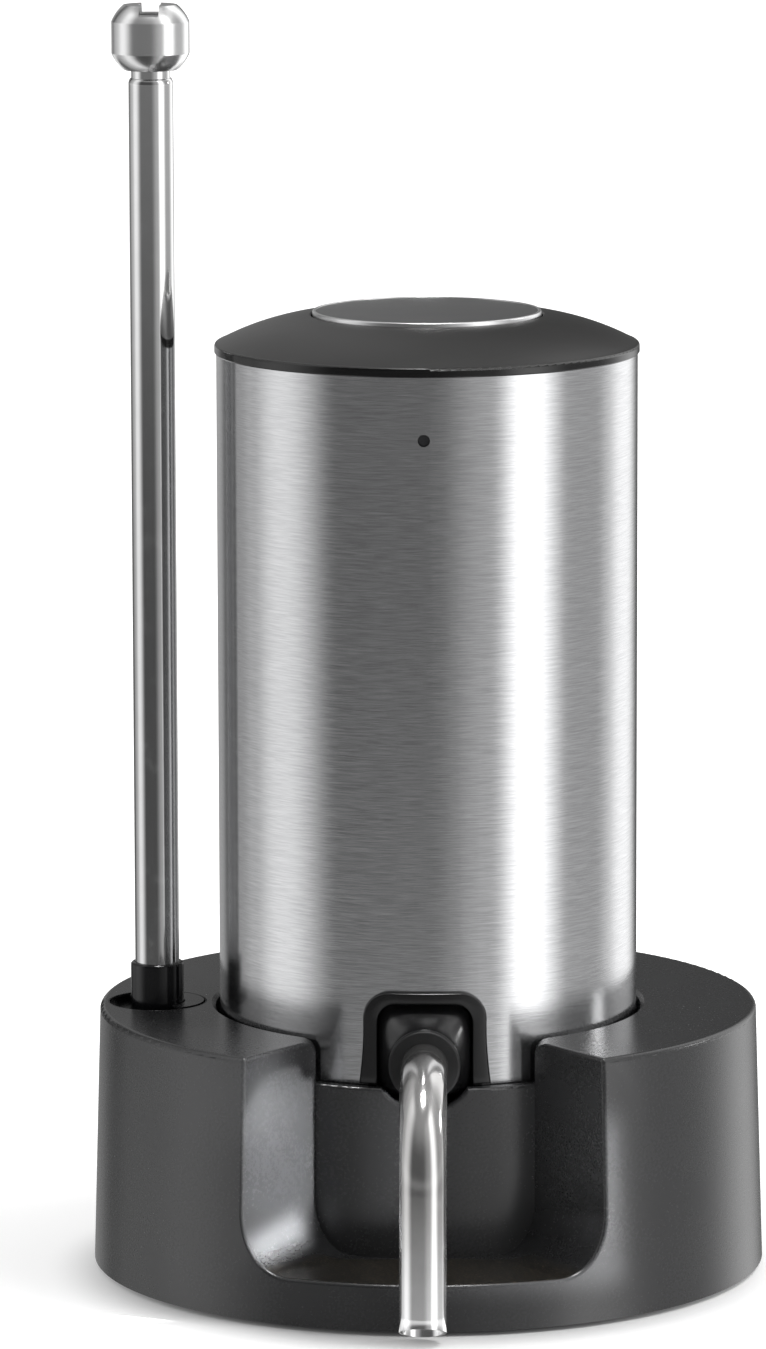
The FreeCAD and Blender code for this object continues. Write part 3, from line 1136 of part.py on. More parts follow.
keep("bottle_stopper", stopper())
keep("wine_elbow", bent_tube(
    "elbow",
    [(0, 0, float(NECK_STEP - dim.elbow_depth)), (0, 0, float(SPOUT_HEIGHT)),
     (0, -float(SPOUT_INNER_END), float(SPOUT_HEIGHT))],
    float(dim.elbow_bend), float(dim.elbow_radius), float(dim.elbow_bore)))
HOSE_TOP = LOWER_DECK - dim.deck_wall - dim.soft_gap
HOSE_LEVEL = (HOSE_TOP - dim.nozzle_length + AIR_NIPPLE_TOP) / 2
keep("air_hose", bent_tube(
    "hose",
    [(float(PUMP_X), 0, float(HOSE_TOP)), (float(PUMP_X), 0, float(HOSE_LEVEL)),
     (0, float(AIR_PORT_Y), float(HOSE_LEVEL)), (0, float(AIR_PORT_Y), float(NECK_STEP))],
    float(dim.hose_bend), float(HOSE_RADIUS),
    float(dim.nozzle_radius + dim.slip_gap / 2)))

# ---------------------------------------------------------------- spout and its mounting
ROOT_HALF = float(dim.frame_half - dim.frame_band_side - dim.slip_gap)
ROOT_TOP = float(FRAME_TOP - dim.frame_band_top - dim.slip_gap)
NOSE_ROUND = 0.99  # corner radius as a share of the nose's radius


def spout_frame():
    """The black arch around the spout: a band on the shell and a lip in its notch."""
    band = arch_of("frame_band_block", 0, FRAME_FOOT, FRAME_FRONT, FRAME_BACK)
    lip = arch_of("frame_lip_block", LIP_INSET, float(SHELL_BOTTOM), FRAME_FRONT, FRAME_BACK)
    opening = arch("frame_opening", float(dim.frame_half - dim.frame_band_side), 0,
                   float(FRAME_TOP - dim.frame_band_top),
                   float(dim.frame_corner - dim.frame_band_top + dim.frame_corner_gain),
                   -FRAME_FRONT - PAST, -FRAME_BACK + PAST)
    band_ring = sleeve("frame_band_ring", SHELL_RADIUS, SHELL_RADIUS + dim.frame_proud,
                       SHELL_BOTTOM, FRAME_TOP + PAST)
    lip_ring = sleeve("frame_lip_ring", SHELL_INSIDE - dim.lip_depth,
                      SHELL_RADIUS + 2 * dim.slip_gap, NECK_STEP + dim.slip_gap,
                      FRAME_TOP + PAST)
    front = joined("frame_front", shared("frame_band", band, band_ring),
                   shared("frame_lip_part", lip, lip_ring))
    return cut("arch_frame", front, opening)


def spout_housing():
    """The nose: a rounded root behind the frame that narrows to a ring around the spout."""
    low, high = float(NOSE_ROOT_LOW), ROOT_TOP
    root_y = -float(SHELL_RADIUS - dim.nose_root_inset)
    root_depth, reach = float(dim.nose_root_depth), float(dim.flange_reach)
    nose = float(dim.nose_radius)
    middle = float(SPOUT_HEIGHT)
    loft = Part.makeLoft([
        rounded_outline(ROOT_HALF, low, high, float(dim.root_corner), root_y),
        rounded_outline(nose, middle - nose, middle + nose, nose * NOSE_ROUND,
                        -float(NOSE_REACH))], True, True)
    root = Part.Face(rounded_outline(ROOT_HALF, low, high, float(dim.root_corner), root_y))
    body = loft.fuse(root.extrude(FreeCAD.Vector(0, root_depth, 0)))
    flange = Part.makeBox(2 * (ROOT_HALF + reach), float(dim.flange_depth),
                          high - low + float(dim.flange_rise),
                          FreeCAD.Vector(-ROOT_HALF - reach, root_y + root_depth, low))

    def bar(radius, start, length):
        return Part.makeCylinder(float(radius), float(length),
                                 FreeCAD.Vector(0, float(start), middle),
                                 FreeCAD.Vector(0, -1, 0))
    barrel = bar(dim.elbow_radius + dim.barrel_wall, root_y + PAST + float(dim.barrel_length),
                 dim.barrel_length)
    body = body.fuse([flange, barrel])
    bore = bar(dim.spout_radius + dim.spout_gap, -SPOUT_INNER_END, NOSE_REACH)
    elbow_seat = bar(dim.elbow_radius + dim.slip_gap / 2, -SPOUT_INNER_END + DEEP, DEEP)
    collar = bar(dim.seal_collar + dim.slip_gap / 2, -NOSE_REACH + dim.seal_depth,
                 NOSE_REACH)
    return solid("nose_housing", body.cut([bore, elbow_seat, collar]))


def spout_seal():
    """The silicone ring that grips the spout: a face on the nose and a collar inside it."""
    face = rod("seal_face_disc", dim.nose_radius, dim.seal_face, y=-NOSE_REACH,
               z=SPOUT_HEIGHT, along="forward")
    collar = rod("seal_collar_disc", dim.seal_collar, dim.seal_depth,
                 y=-NOSE_REACH + dim.seal_depth, z=SPOUT_HEIGHT, along="forward")
    bore = rod("seal_bore", dim.spout_radius + dim.spout_gap, NOSE_REACH,
               y=-NOSE_REACH + dim.seal_depth + PAST, z=SPOUT_HEIGHT, along="forward")
    return cut("seal", joined("seal_blank", face, collar), bore)


keep("spout_frame", spout_frame())
keep("spout_housing", spout_housing())
keep("spout_seal_ring", spout_seal())
keep("spout_tube", bent_tube(
    "spout",
    [(0, -float(SPOUT_INNER_END), float(SPOUT_HEIGHT)),
     (0, -float(SPOUT_REACH), float(SPOUT_HEIGHT)),
     (0, -float(SPOUT_REACH), float(dim.spout_end))],
    float(dim.spout_bend), float(dim.spout_radius), float(dim.spout_radius - dim.spout_wall)))

# ---------------------------------------------------------------- check and export
doc.recompute()
for thing in doc.Objects:
    if "Invalid" in thing.State or "Error" in thing.State:
        raise RuntimeError(f"{thing.Name} did not build: {thing.State}")
for name, thing in NODES.items():
    shape = thing.Shape
    if shape.isNull() or not shape.isValid() or not shape.Solids:
        raise RuntimeError(f"{name} has no valid solid")
for name, thing in NODES.items():
    thing.Shape.exportStep(f"parts/{name}.step")
    print(f"{name:22s} {len(thing.Shape.Solids)} solid(s), {thing.Shape.Volume / 1000:9.3f} cm3")
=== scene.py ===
# %% [markdown]
# # A wine preservation dispenser
# A steel cylinder with an air pump inside stands in a dark moulded stand. Its bent spout hangs in
# front, and the telescopic suction tube stands in a socket on the left.
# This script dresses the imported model: it sets up the camera and the studio, gives every part its
# finish, and rebuilds the parts whose edges and curves show most. Lengths are in metres, +Z is up
# and the spout points to -Y.

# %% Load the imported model
import math

import bmesh
import bpy
from mathutils import Matrix, Vector


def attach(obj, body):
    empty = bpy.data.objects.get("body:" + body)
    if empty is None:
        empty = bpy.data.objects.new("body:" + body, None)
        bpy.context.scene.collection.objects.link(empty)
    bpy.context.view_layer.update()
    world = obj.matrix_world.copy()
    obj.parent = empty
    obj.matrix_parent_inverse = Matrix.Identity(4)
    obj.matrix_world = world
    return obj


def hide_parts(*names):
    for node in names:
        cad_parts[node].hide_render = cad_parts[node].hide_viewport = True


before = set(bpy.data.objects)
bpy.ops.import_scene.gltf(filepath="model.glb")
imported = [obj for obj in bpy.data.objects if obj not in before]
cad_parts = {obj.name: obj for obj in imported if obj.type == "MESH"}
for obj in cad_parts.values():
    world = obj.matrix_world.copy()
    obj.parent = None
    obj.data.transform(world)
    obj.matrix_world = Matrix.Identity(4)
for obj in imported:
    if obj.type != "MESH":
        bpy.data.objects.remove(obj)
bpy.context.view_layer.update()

MM = 0.001
print("parts in the model:", len(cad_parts))

# %% [markdown]
# ## The camera
# Product pictures of small things are taken from about a metre with a long lens, which keeps
# upright edges nearly parallel. The camera is placed by the point it looks at, its distance, how
# far it stands round to the right and how high above the horizon. A turn round its own line of
# sight takes out the last bit of lean.

# %% Camera
LOOKS_AT = Vector((-5.946, 0, 79.585)) * MM
CAMERA_DISTANCE = 1.04705
CAMERA_ELEVATION = math.radians(9.403)
CAMERA_AZIMUTH = math.radians(1.198)
CAMERA_LEAN = math.radians(-0.153)
LENS_LENGTH, SENSOR_WIDTH = 209.03, 36.0


def direction(azimuth, elevation):
    """The unit vector from the dispenser towards a place round it; azimuth 0 is in front."""
    return Vector((math.sin(azimuth) * math.cos(elevation),
                   -math.cos(azimuth) * math.cos(elevation), math.sin(elevation)))


def add_camera():
    """The camera, with its lens and its lean."""
    lens = bpy.data.cameras.new("product_camera")
    lens.lens, lens.sensor_width = LENS_LENGTH, SENSOR_WIDTH
    lens.clip_start, lens.clip_end = 0.05, 50.0
    camera = bpy.data.objects.new("product_camera", lens)
    bpy.context.scene.collection.objects.link(camera)
    back = direction(CAMERA_AZIMUTH, CAMERA_ELEVATION)
    camera.location = LOOKS_AT + back * CAMERA_DISTANCE
    level = (-back).to_track_quat("-Z", "Y")
    camera.rotation_mode = "QUATERNION"
    camera.rotation_quaternion = Matrix.Rotation(CAMERA_LEAN, 3, back).to_quaternion() @ level
    bpy.context.scene.camera = camera
    return camera


print("camera at", [round(x, 3) for x in add_camera().location])

# %% [markdown]
# ## Writing shaders as sums
# A finish is a small network of nodes. Wiring each one by hand hides the idea behind it, so a
# `Wire` stands for one socket and understands +, -, * and /: `1 - mask * 0.3` adds the Math nodes
# by itself. Everything that isn't plain arithmetic goes through `Finish.node`, which sets a
# node's own settings first and then its sockets.

# %% Shader helper
FIRST_COLOUR, SECOND_COLOUR, MIXED_COLOUR = 6, 7, 2  # places of the Mix node's colour sockets


class Wire:
    """The output socket of a shader node, which Python's four signs turn into Math nodes."""
    def __init__(self, tree, socket):
        self.tree, self.socket = tree, socket


def add_sign(sign, operation):
    """Give Wire one sign, and its reflected form for a plain number on the left."""
    def forward(self, other):
        return self.tree.node("Math", {"operation": operation}, {0: self, 1: other})

    def reflected(self, other):
        return self.tree.node("Math", {"operation": operation}, {0: other, 1: self})
    setattr(Wire, f"__{sign}__", forward)
    setattr(Wire, f"__r{sign}__", reflected)


for sign, operation in (("add", "ADD"), ("sub", "SUBTRACT"), ("mul", "MULTIPLY"),
                        ("truediv", "DIVIDE")):
    add_sign(sign, operation)


class Nodes:
    """A node tree, and the one method that adds any node to it."""
    def __init__(self, tree):
        self.tree = tree

    def node(self, kind, settings, sockets, output=0):
        """Add a node: its settings first, then the values or wires of its sockets."""
        made = self.tree.nodes.new("ShaderNode" + kind)
        for key, value in settings.items():
            setattr(made, key, value)
        for key, value in sockets.items():
            self.feed(made.inputs[key], value)
        return Wire(self, made.outputs[output])

    def feed(self, socket, value):
        """Wire a socket, or set its value."""
        if isinstance(value, Wire):
            self.tree.links.new(value.socket, socket)
        else:
            socket.default_value = value

    def ramp(self, value, low, high, start=0.0, end=1.0):
        """A number that runs smoothly from start to end as value goes from low to high."""
        return self.node("MapRange", {"interpolation_type": "SMOOTHSTEP"},
                         {"Value": value, "From Min": low, "From Max": high,
                          "To Min": start, "To Max": end})

    def split(self, vector):
        """The three wires of a vector."""
        parts = self.node("SeparateXYZ", {}, {"Vector": vector}).socket.node
        return [Wire(self, output) for output in parts.outputs]


class Finish(Nodes):
    """A material in the making; its constants are named after the Principled shader's sockets."""
    def __init__(self, name, **constants):
        self.material = bpy.data.materials.new(name)
        self.material.use_nodes = True
        super().__init__(self.material.node_tree)
        self.shader = self.tree.nodes["Principled BSDF"]
        for key, value in constants.items():
            self.set(key.replace("_", " ").title().replace("Ior", "IOR"), value)

    def set(self, socket, value):
        """Set or wire one socket of the Principled shader; a colour may be three numbers."""
        if isinstance(value, tuple) and len(value) == 3:
            value = (*value, 1.0)
        self.feed(self.shader.inputs[socket], value)

    def place(self, scale=(1, 1, 1), centre=(0, 0, 0)):
        """The point on the part, in metres from a centre, times a scale for each axis."""
        point = self.node("TexCoord", {}, {}, "Object")
        shift = tuple(-c * s for c, s in zip(centre, scale))
        return self.node("Mapping", {}, {"Vector": point, "Location": shift, "Scale": scale})

    def grain(self, size, detail=2.0, stretch=(1, 1, 1), roughness=0.5):
        """Noise from 0 to 1 with features of that size in metres, longer where stretch says."""
        point = self.place(tuple(1 / s for s in stretch))
        return self.node("TexNoise", {}, {"Vector": point, "Scale": 1 / size, "Detail": detail,
                                          "Roughness": roughness})

    def between(self, mask, first, second):
        """The colour that is first where the mask is 0 and second where it is 1."""
        first, second = (c if isinstance(c, Wire) else (*c, 1) for c in (first, second))
        return self.node("Mix", {"data_type": "RGBA"},
                         {0: mask, FIRST_COLOUR: first, SECOND_COLOUR: second}, MIXED_COLOUR)

    def relief(self, height, depth):
        """Make the surface look as if it stood proud by height times depth, in metres."""
        sockets = {"Strength": 1.0, "Distance": depth, "Height": height}
        return self.node("Bump", {}, sockets, "Normal")


print("shader helper ready")

# %% [markdown]
# ## The studio
# Polished and brushed steel have hardly a colour of their own: what makes them look like steel is
# the contrast between what they mirror. So the studio is dark at the camera's side, with tall
# light panels left and right. The panels belong to the world, where their edges can be as soft as
# a real diffuser's. Below the horizon the world glows a little where a light table would be near
# the dispenser. The floor itself is left out of the mirror images.

# %% Studio panels
PANELS = (
    # name, azimuth, half width, softness of the edge, brightness
    ("key panel", 60, 2, 22, 1.9),
    ("front fill", 38, 4, 32, 0.34),
    ("side fill", 96, 16, 12, 0.32),
    ("rim panel", 137, 4, 26, 1.35),
    ("left panel", -86, 3, 34, 0.95),
    ("left back panel", -121, 6, 10, 0.3),
    ("left rim", -163, 8, 12, 0.32),
)
PANEL_TOP, PANEL_FADE = math.radians(48), math.radians(16)
ROOM_GREY = 0.08
BANDS = (
    # name, elevations where the light starts and ends its rise, brightness before and after
    ("ceiling", 22, 58, 0.0, 0.3),
    ("table glow", -16.5, -12.5, 0.7, 0.0),
    ("under the table", -30.0, -20.0, -0.7, 0.0),
    ("far table", -9.0, -3.0, 0.0, 0.18),
    ("end of the table", -2.0, 6.0, 0.0, -0.18),
)


def add_studio_light():
    """The world: a dim room, its bands of light and the tall soft panels round the dispenser."""
    world = bpy.data.worlds.new("studio")
    world.use_nodes = True
    bpy.context.scene.world = world
    room = Nodes(world.node_tree)
    x, y, z = room.split(room.node("TexCoord", {}, {}, "Generated"))
    azimuth = room.node("Math", {"operation": "ARCTAN2"}, {0: x, 1: 0 - y})
    elevation = room.node("Math", {"operation": "ARCSINE"}, {0: z})
    below = room.ramp(elevation, PANEL_TOP, PANEL_TOP + PANEL_FADE, 1.0, 0.0)
    panels = 0
    for _, centre, half, soft, brightness in PANELS:
        away = room.node("Math", {"operation": "ABSOLUTE"}, {0: azimuth - math.radians(centre)})
        share = room.ramp(away, math.radians(half), math.radians(half + soft), brightness, 0.0)
        panels = panels + share
    light = panels * below + ROOM_GREY
    for _, low, high, before, after in BANDS:
        light = light + room.ramp(elevation, math.radians(low), math.radians(high), before, after)
    background = world.node_tree.nodes["Background"]
    world.node_tree.links.new(light.socket, background.inputs["Color"])
    background.inputs["Strength"].default_value = 1.0


add_studio_light()
bpy.context.scene.view_settings.view_transform = "Standard"
print("lights of the world:", ", ".join(light[0] for light in PANELS + BANDS))

# %% [markdown]
# ## Lamps
# One large soft lamp high on the right gives the short shadow to the left of the stand. Three small
# ones with a grid in front, close by at the right, light the left wall of the spout slot, its upper
# corner and the curve at its foot. None of these four shows in the gloss. Three more are there for
# the gloss only: the rounded edges mirror them as thin bright lines.

# %% Lamps
SLOT_WALL, SLOT_CORNER = Vector((-19, -32, 21)) * MM, Vector((-21, -35, 30)) * MM
SLOT_CURVE = Vector((-20.2, -34, 9.8)) * MM
BARE, GRID, FINE_GRID = math.radians(180), math.radians(8), math.radians(3)
LAMPS = (
    # name, azimuth, elevation, distance, watts, point it faces, width, height, spread, gloss only
    ("key_lamp", 80, 58, 1.3, 9.0, LOOKS_AT, 0.5, 0.5, BARE, False),
    ("slot_lamp", 72, -6, 0.09, 0.010, SLOT_WALL, 0.018, 0.022, GRID, False),
    ("corner_lamp", 40, 8, 0.09, 0.0015, SLOT_CORNER, 0.007, 0.012, GRID, False),
    ("curve_lamp", 75, 28, 0.11, 0.0033, SLOT_CURVE, 0.011, 0.003, FINE_GRID, False),
    ("overhead_lamp", 10, 80, 1.1, 8.0, LOOKS_AT, 0.25, 0.25, BARE, True),
    ("key_core", 80, 58, 1.3, 4.0, LOOKS_AT, 0.3, 0.3, BARE, True),
    ("side_lamp", 108, 14, 1.1, 0.8, LOOKS_AT, 0.14, 0.14, BARE, True),
)


def add_lamp(name, azimuth, elevation, distance, watts, aim, width, height, spread, gloss_only):
    """A soft lamp that faces a point from some way off."""
    lamp = bpy.data.lights.new(name, "AREA")
    lamp.shape, lamp.energy = "RECTANGLE", watts
    lamp.size, lamp.size_y, lamp.spread = width, height, spread
    holder = bpy.data.objects.new(name, lamp)
    bpy.context.scene.collection.objects.link(holder)
    back = direction(math.radians(azimuth), math.radians(elevation))
    holder.location = aim + back * distance
    holder.rotation_mode = "QUATERNION"
    holder.rotation_quaternion = (-back).to_track_quat("-Z", "Y")
    holder.visible_camera = False
    holder.visible_diffuse = not gloss_only
    holder.visible_glossy = gloss_only


for lamp in LAMPS:
    add_lamp(*lamp)
print("lamps:", ", ".join(lamp[0] for lamp in LAMPS))

# %% [markdown]
# ## The floor
# The floor is a light table: a wide pale disc that glows by itself, and more so away from the
# dispenser. Round the stand the glow fades out, which paints a soft contact shadow there and lets
# the key lamp's shadow show. A faint grain keeps it from being flat.

# %% Floor
FLOOR_RADIUS = 6.0
# the centre of the soft shadow that is painted round the stand by leaving out the floor's glow
PAINTED_SHADOW_CENTRE = (0, -6 * MM, 0)
# distances from the painted shadow's centre between which a share of the glow comes in, and that
# share; nearer than the first there is no glow, which paints the shadow round the stand
GLOW_STEPS = ((36 * MM, 52 * MM, 0.7), (70 * MM, 200 * MM, 0.3))


def add_floor():
    """A wide pale disc just under the stand."""
    shape = bmesh.new()
    bmesh.ops.create_circle(shape, cap_ends=True, segments=96, radius=FLOOR_RADIUS)
    mesh = bpy.data.meshes.new("studio_floor")
    shape.to_mesh(mesh)
    shape.free()
    floor = bpy.data.objects.new("studio_floor", mesh)
    bpy.context.scene.collection.objects.link(floor)
    paint = Finish("pale_floor", roughness=0.9, specular_ior_level=0.1)
    paint.set("Base Color", paint.between(paint.grain(0.02), (0.6, 0.6, 0.6), (0.62, 0.62, 0.62)))
    near = paint.node("VectorMath", {"operation": "LENGTH"}, {0: paint.place(centre=PAINTED_SHADOW_CENTRE)},
                      "Value")
    # no glow close to the stand: this paints its contact shadow
    first, second = (paint.ramp(near, low, high, 0.0, glow) for low, high, glow in GLOW_STEPS)
    paint.set("Emission Color", first + second)
    paint.set("Emission Strength", 1.0)
    mesh.materials.append(paint.material)
    floor.visible_glossy = False
    return floor


print(add_floor().name, "radius", FLOOR_RADIUS)

# %% [markdown]
# ## Moulded plastic
# Injection-moulded housings get a fine spark-eroded texture from the mould: shallow pits a few
# tenths of a millimetre across. Two noises make it, one for the pits and one for slow changes in
# gloss where the plastic cooled unevenly. The plastic stays glossy enough for its rounded edges to
# catch the panels as thin bright lines.

# %% Moulded plastic


def moulded_plastic(name, tone, roughness=0.42, pit=0.35 * MM, depth=0.006 * MM, sheen_change=0.06,
                    tone_change=0.1, shine=0.5):
    """Textured plastic: tone is its colour, pit the texture's size and depth its depth."""
    finish = Finish(name, roughness=roughness, specular_ior_level=shine)
    pits = finish.grain(pit, detail=3)
    slow = finish.grain(9 * MM, detail=2)
    dark = tuple(c * (1 - tone_change) for c in tone)
    pale = tuple(c * (1 + tone_change) for c in tone)
    finish.colour = finish.between(pits, dark, pale)
    finish.gloss = roughness + (slow - 0.5) * sheen_change + (pits - 0.5) * 0.06
    finish.set("Base Color", finish.colour)
    finish.set("Roughness", finish.gloss)
    finish.set("Normal", finish.relief(pits, depth))
    return finish


def dress(node, finish):
    """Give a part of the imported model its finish."""
    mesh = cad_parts[node].data
    mesh.materials.clear()
    mesh.materials.append(finish.material)


def cap_finish():
    """Satin on the cap's slope; its upright edge is glossier and painted near black as shade."""
    finish = moulded_plastic("cap_plastic", (0.021, 0.0207, 0.0203), 0.34, 0.25 * MM, 0.002 * MM)
    facing = finish.split(finish.node("NewGeometry", {}, {}, "Normal"))[2]
    # the upright edge is picked out by its normal and painted near black as shade
    edge = finish.ramp(facing, 0.25, 0.8, 1, 0)
    finish.set("Base Color", finish.between(edge, finish.colour, (0.003, 0.003, 0.003)))
    finish.set("Roughness", finish.gloss - edge * 0.18)
    return finish


dress("base_bottom_cover", moulded_plastic("stand_cover_plastic", (0.03, 0.03, 0.032), 0.5))
dress("bottom_cover", moulded_plastic("body_cover_plastic", (0.025, 0.025, 0.027), 0.45))
dress("inner_frame", moulded_plastic("inner_frame_plastic", (0.05, 0.05, 0.054), 0.5))
dress("air_pump_head", moulded_plastic("pump_plastic", (0.62, 0.62, 0.6), 0.45))
dress("wine_elbow", moulded_plastic("food_plastic", (0.7, 0.71, 0.7), 0.35))
dress("tube_friction_ring", moulded_plastic("slide_ring_plastic", (0.7, 0.7, 0.67), 0.4))
dress("top_cap", cap_finish())
dress("tact_switch", moulded_plastic("switch_plastic", (0.02, 0.02, 0.021), 0.4))
dress("board_chips", moulded_plastic("chip_epoxy", (0.014, 0.014, 0.015), 0.45, 0.1 * MM))
print("moulded parts dressed")

# %% [markdown]
# ## The stand's plastic
# The stand is charcoal plastic all over, but the floor of its spout slot is duller, painted dark
# brown as shade and flecked with pale brown specks. The shader finds that floor by its height, its
# place in front of the cup and its upward normal.

# %% The stand
STAND_TONE = (0.025, 0.0253, 0.0262)
CUP_FRONT, SLOT_FADE_LOW, SLOT_FADE_HIGH = -31.0 * MM, 8.5 * MM, 12.0 * MM


def stand_finish():
    """Charcoal plastic; the floor of the spout slot is duller and painted dark brown as shade, with
    pale specks.
    """
    finish = moulded_plastic("stand_plastic", STAND_TONE, 0.27, 0.4 * MM, 0.0015 * MM,
                             tone_change=0.04, shine=0.6)
    _, y, z = finish.split(finish.place())
    facing = finish.split(finish.node("NewGeometry", {}, {}, "Normal"))[2]
    in_slot = finish.ramp(facing, 0.8, 0.97) * finish.ramp(z, SLOT_FADE_LOW, SLOT_FADE_HIGH, 1, 0)
    in_slot = in_slot * finish.ramp(y, CUP_FRONT, CUP_FRONT + 1 * MM, 1, 0)
    specks = finish.ramp(finish.grain(0.3 * MM, 4.0, roughness=0.7), 0.52, 0.68)
    # the slot floor's dark ground is painted shade; the pale brown specks are a speckle of its own
    shade_and_specks = finish.between(specks, (0.009, 0.008, 0.0065), (0.12, 0.098, 0.072))
    finish.set("Base Color", finish.between(in_slot, finish.colour, shade_and_specks))
    finish.set("Roughness", finish.gloss + in_slot * 0.08)
    return finish


dress("base_housing", stand_finish())
print("stand dressed")

# %% [markdown]
# ## Brushed steel
# The shell is brushed while it turns, so its scratches run round the body. Each is a tenth of a
# millimetre or two high and a few millimetres long. Noise that is squeezed along Z and stretched
# along X and Y gives such lines, and as it reads X and Y themselves there is no seam at the back.
# The lines change the tone, the roughness and the relief. The steel's own anisotropy spreads the
# highlights up and down, across the scratches.

# %% Brushed steel


def brushed_steel(name, tone=0.6, roughness=0.18):
    """Steel brushed round the Z axis."""
    finish = Finish(name, metallic=1.0, anisotropic=0.45, anisotropic_rotation=0.25)
    fine = finish.grain(1.0 * MM, 3.0, (3.5, 3.5, 0.12), roughness=0.6)
    broad = finish.grain(1.0 * MM, 2.0, (7, 7, 0.28))
    lines = fine * 0.85 + broad * 0.15
    dark = (tone * 0.87, tone * 0.875, tone * 0.89)
    pale = (tone * 1.1, tone * 1.105, tone * 1.12)
    finish.set("Base Color", finish.between(finish.ramp(lines, 0.25, 0.75), dark, pale))
    finish.set("Roughness", roughness + (fine - 0.5) * 0.11)
    finish.set("Normal", finish.relief(lines, 0.0045 * MM))
    return finish


dress("steel_shell", brushed_steel("brushed_steel_shell"))
print("shell dressed")

# %% [markdown]
# ## Polished steel
# The tubes, the foot and the spout are polished. A mirror is never perfect: faint drawing lines
# along a tube, a slow waviness of the wall and a few specks of dulled metal keep it from looking
# like glass.

# %% Polished steel


def polished_steel(name, tone=0.72, roughness=0.07, along=(0.4, 0.4, 12), line=0.5 * MM,
                   depth=0.0015 * MM, metallic=1.0):
    """Polished tube steel, with drawing lines along one axis."""
    finish = Finish(name, metallic=metallic)
    drawn = finish.grain(line, 2.0, along)
    dull = finish.grain(3 * MM, 3.0)
    finish.colour = finish.between(dull, (tone * 0.94,) * 3,
                                   (tone * 1.04, tone * 1.04, tone * 1.045))
    finish.gloss = roughness + finish.ramp(dull, 0.55, 0.8, 0.0, 0.05) + drawn * 0.04
    finish.set("Base Color", finish.colour)
    finish.set("Roughness", finish.gloss)
    finish.set("Normal", finish.relief(drawn, depth))
    return finish


tube_steel = polished_steel("polished_tube_steel")
for node in ("suction_tube_outer", "suction_tube_inner"):
    dress(node, tube_steel)
dress("tube_inlet_foot", polished_steel("turned_foot_steel", 0.78, 0.19, (8, 8, 0.3)))
dress("wine_inlet", polished_steel("inlet_steel", 0.68, 0.15))
print("polished parts dressed")

# %% [markdown]
# ## Silicone and rubber
# The sleeve on the tube's foot is glossy, the stopper and the pad underneath are dull. All of them
# pick up a faint bloom of dust, which lightens the colour in patches.

# %% Silicone and rubber


def silicone(name, tone, roughness, dust=0.02, ripple=0.004 * MM):
    """Moulded silicone or rubber with a slight bloom."""
    finish = Finish(name, roughness=roughness, ior=1.41)
    bloom = finish.grain(4 * MM, detail=4)
    skin = finish.grain(0.5 * MM, detail=2)
    pale = tuple(c + dust for c in tone)
    finish.set("Base Color", finish.between(finish.ramp(bloom, 0.45, 0.75), tone, pale))
    finish.set("Roughness", roughness + (bloom - 0.5) * 0.12)
    finish.set("Normal", finish.relief(skin, ripple))
    return finish


dress("bottle_stopper", silicone("stopper_silicone", (0.02, 0.02, 0.021), 0.6))
dress("base_foot_pad", silicone("foot_rubber", (0.02, 0.02, 0.02), 0.8, 0.015, 0.02 * MM))
dress("air_hose", silicone("hose_silicone", (0.66, 0.67, 0.66), 0.4))
print("silicone parts dressed")

# %% [markdown]
# ## The parts inside
# Nobody sees these until the cap comes off, but they deserve their own finishes: plated screws, a
# spring's drawn wire, a green board with its tracks under the mask, a cell in shrink wrap, tinned
# steel and coloured lead insulation. The wrap and the insulation are soft skins, like silicone.

# %% Inside finishes


def plated_steel(name, tone, roughness, size=0.3 * MM):
    """Zinc or nickel plate over machined steel."""
    finish = Finish(name, metallic=1.0)
    spots = finish.grain(size, detail=3)
    finish.set("Base Color", finish.between(spots, tuple(c * 0.85 for c in tone),
                                            tuple(c * 1.1 for c in tone)))
    finish.set("Roughness", roughness + (spots - 0.5) * 0.15)
    finish.set("Normal", finish.relief(spots, 0.004 * MM))
    return finish


def circuit_board(name):
    """Green solder mask with the raised tracks showing through it."""
    finish = Finish(name, roughness=0.3, coat_weight=0.3)
    tracks = finish.node("TexBrick", {"offset": 0.37, "squash": 0.6},
                         {"Vector": finish.place(), "Scale": 260.0, "Mortar Size": 0.035,
                          "Color1": (1, 1, 1, 1), "Color2": (1, 1, 1, 1),
                          "Mortar": (0, 0, 0, 1)}, "Fac")
    finish.set("Base Color", finish.between(tracks, (0.012, 0.11, 0.045), (0.03, 0.2, 0.08)))
    finish.set("Normal", finish.relief(tracks, 0.02 * MM))
    return finish


def clear_plastic(name, tone, through):
    """Milky clear plastic, as of a light guide or an LED's lens."""
    finish = Finish(name, roughness=0.2, transmission_weight=through, ior=1.49)
    cloud = finish.grain(0.8 * MM, detail=3)
    finish.set("Base Color", finish.between(cloud, tuple(c * 0.9 for c in tone), tone))
    finish.set("Roughness", 0.15 + cloud * 0.15)
    return finish


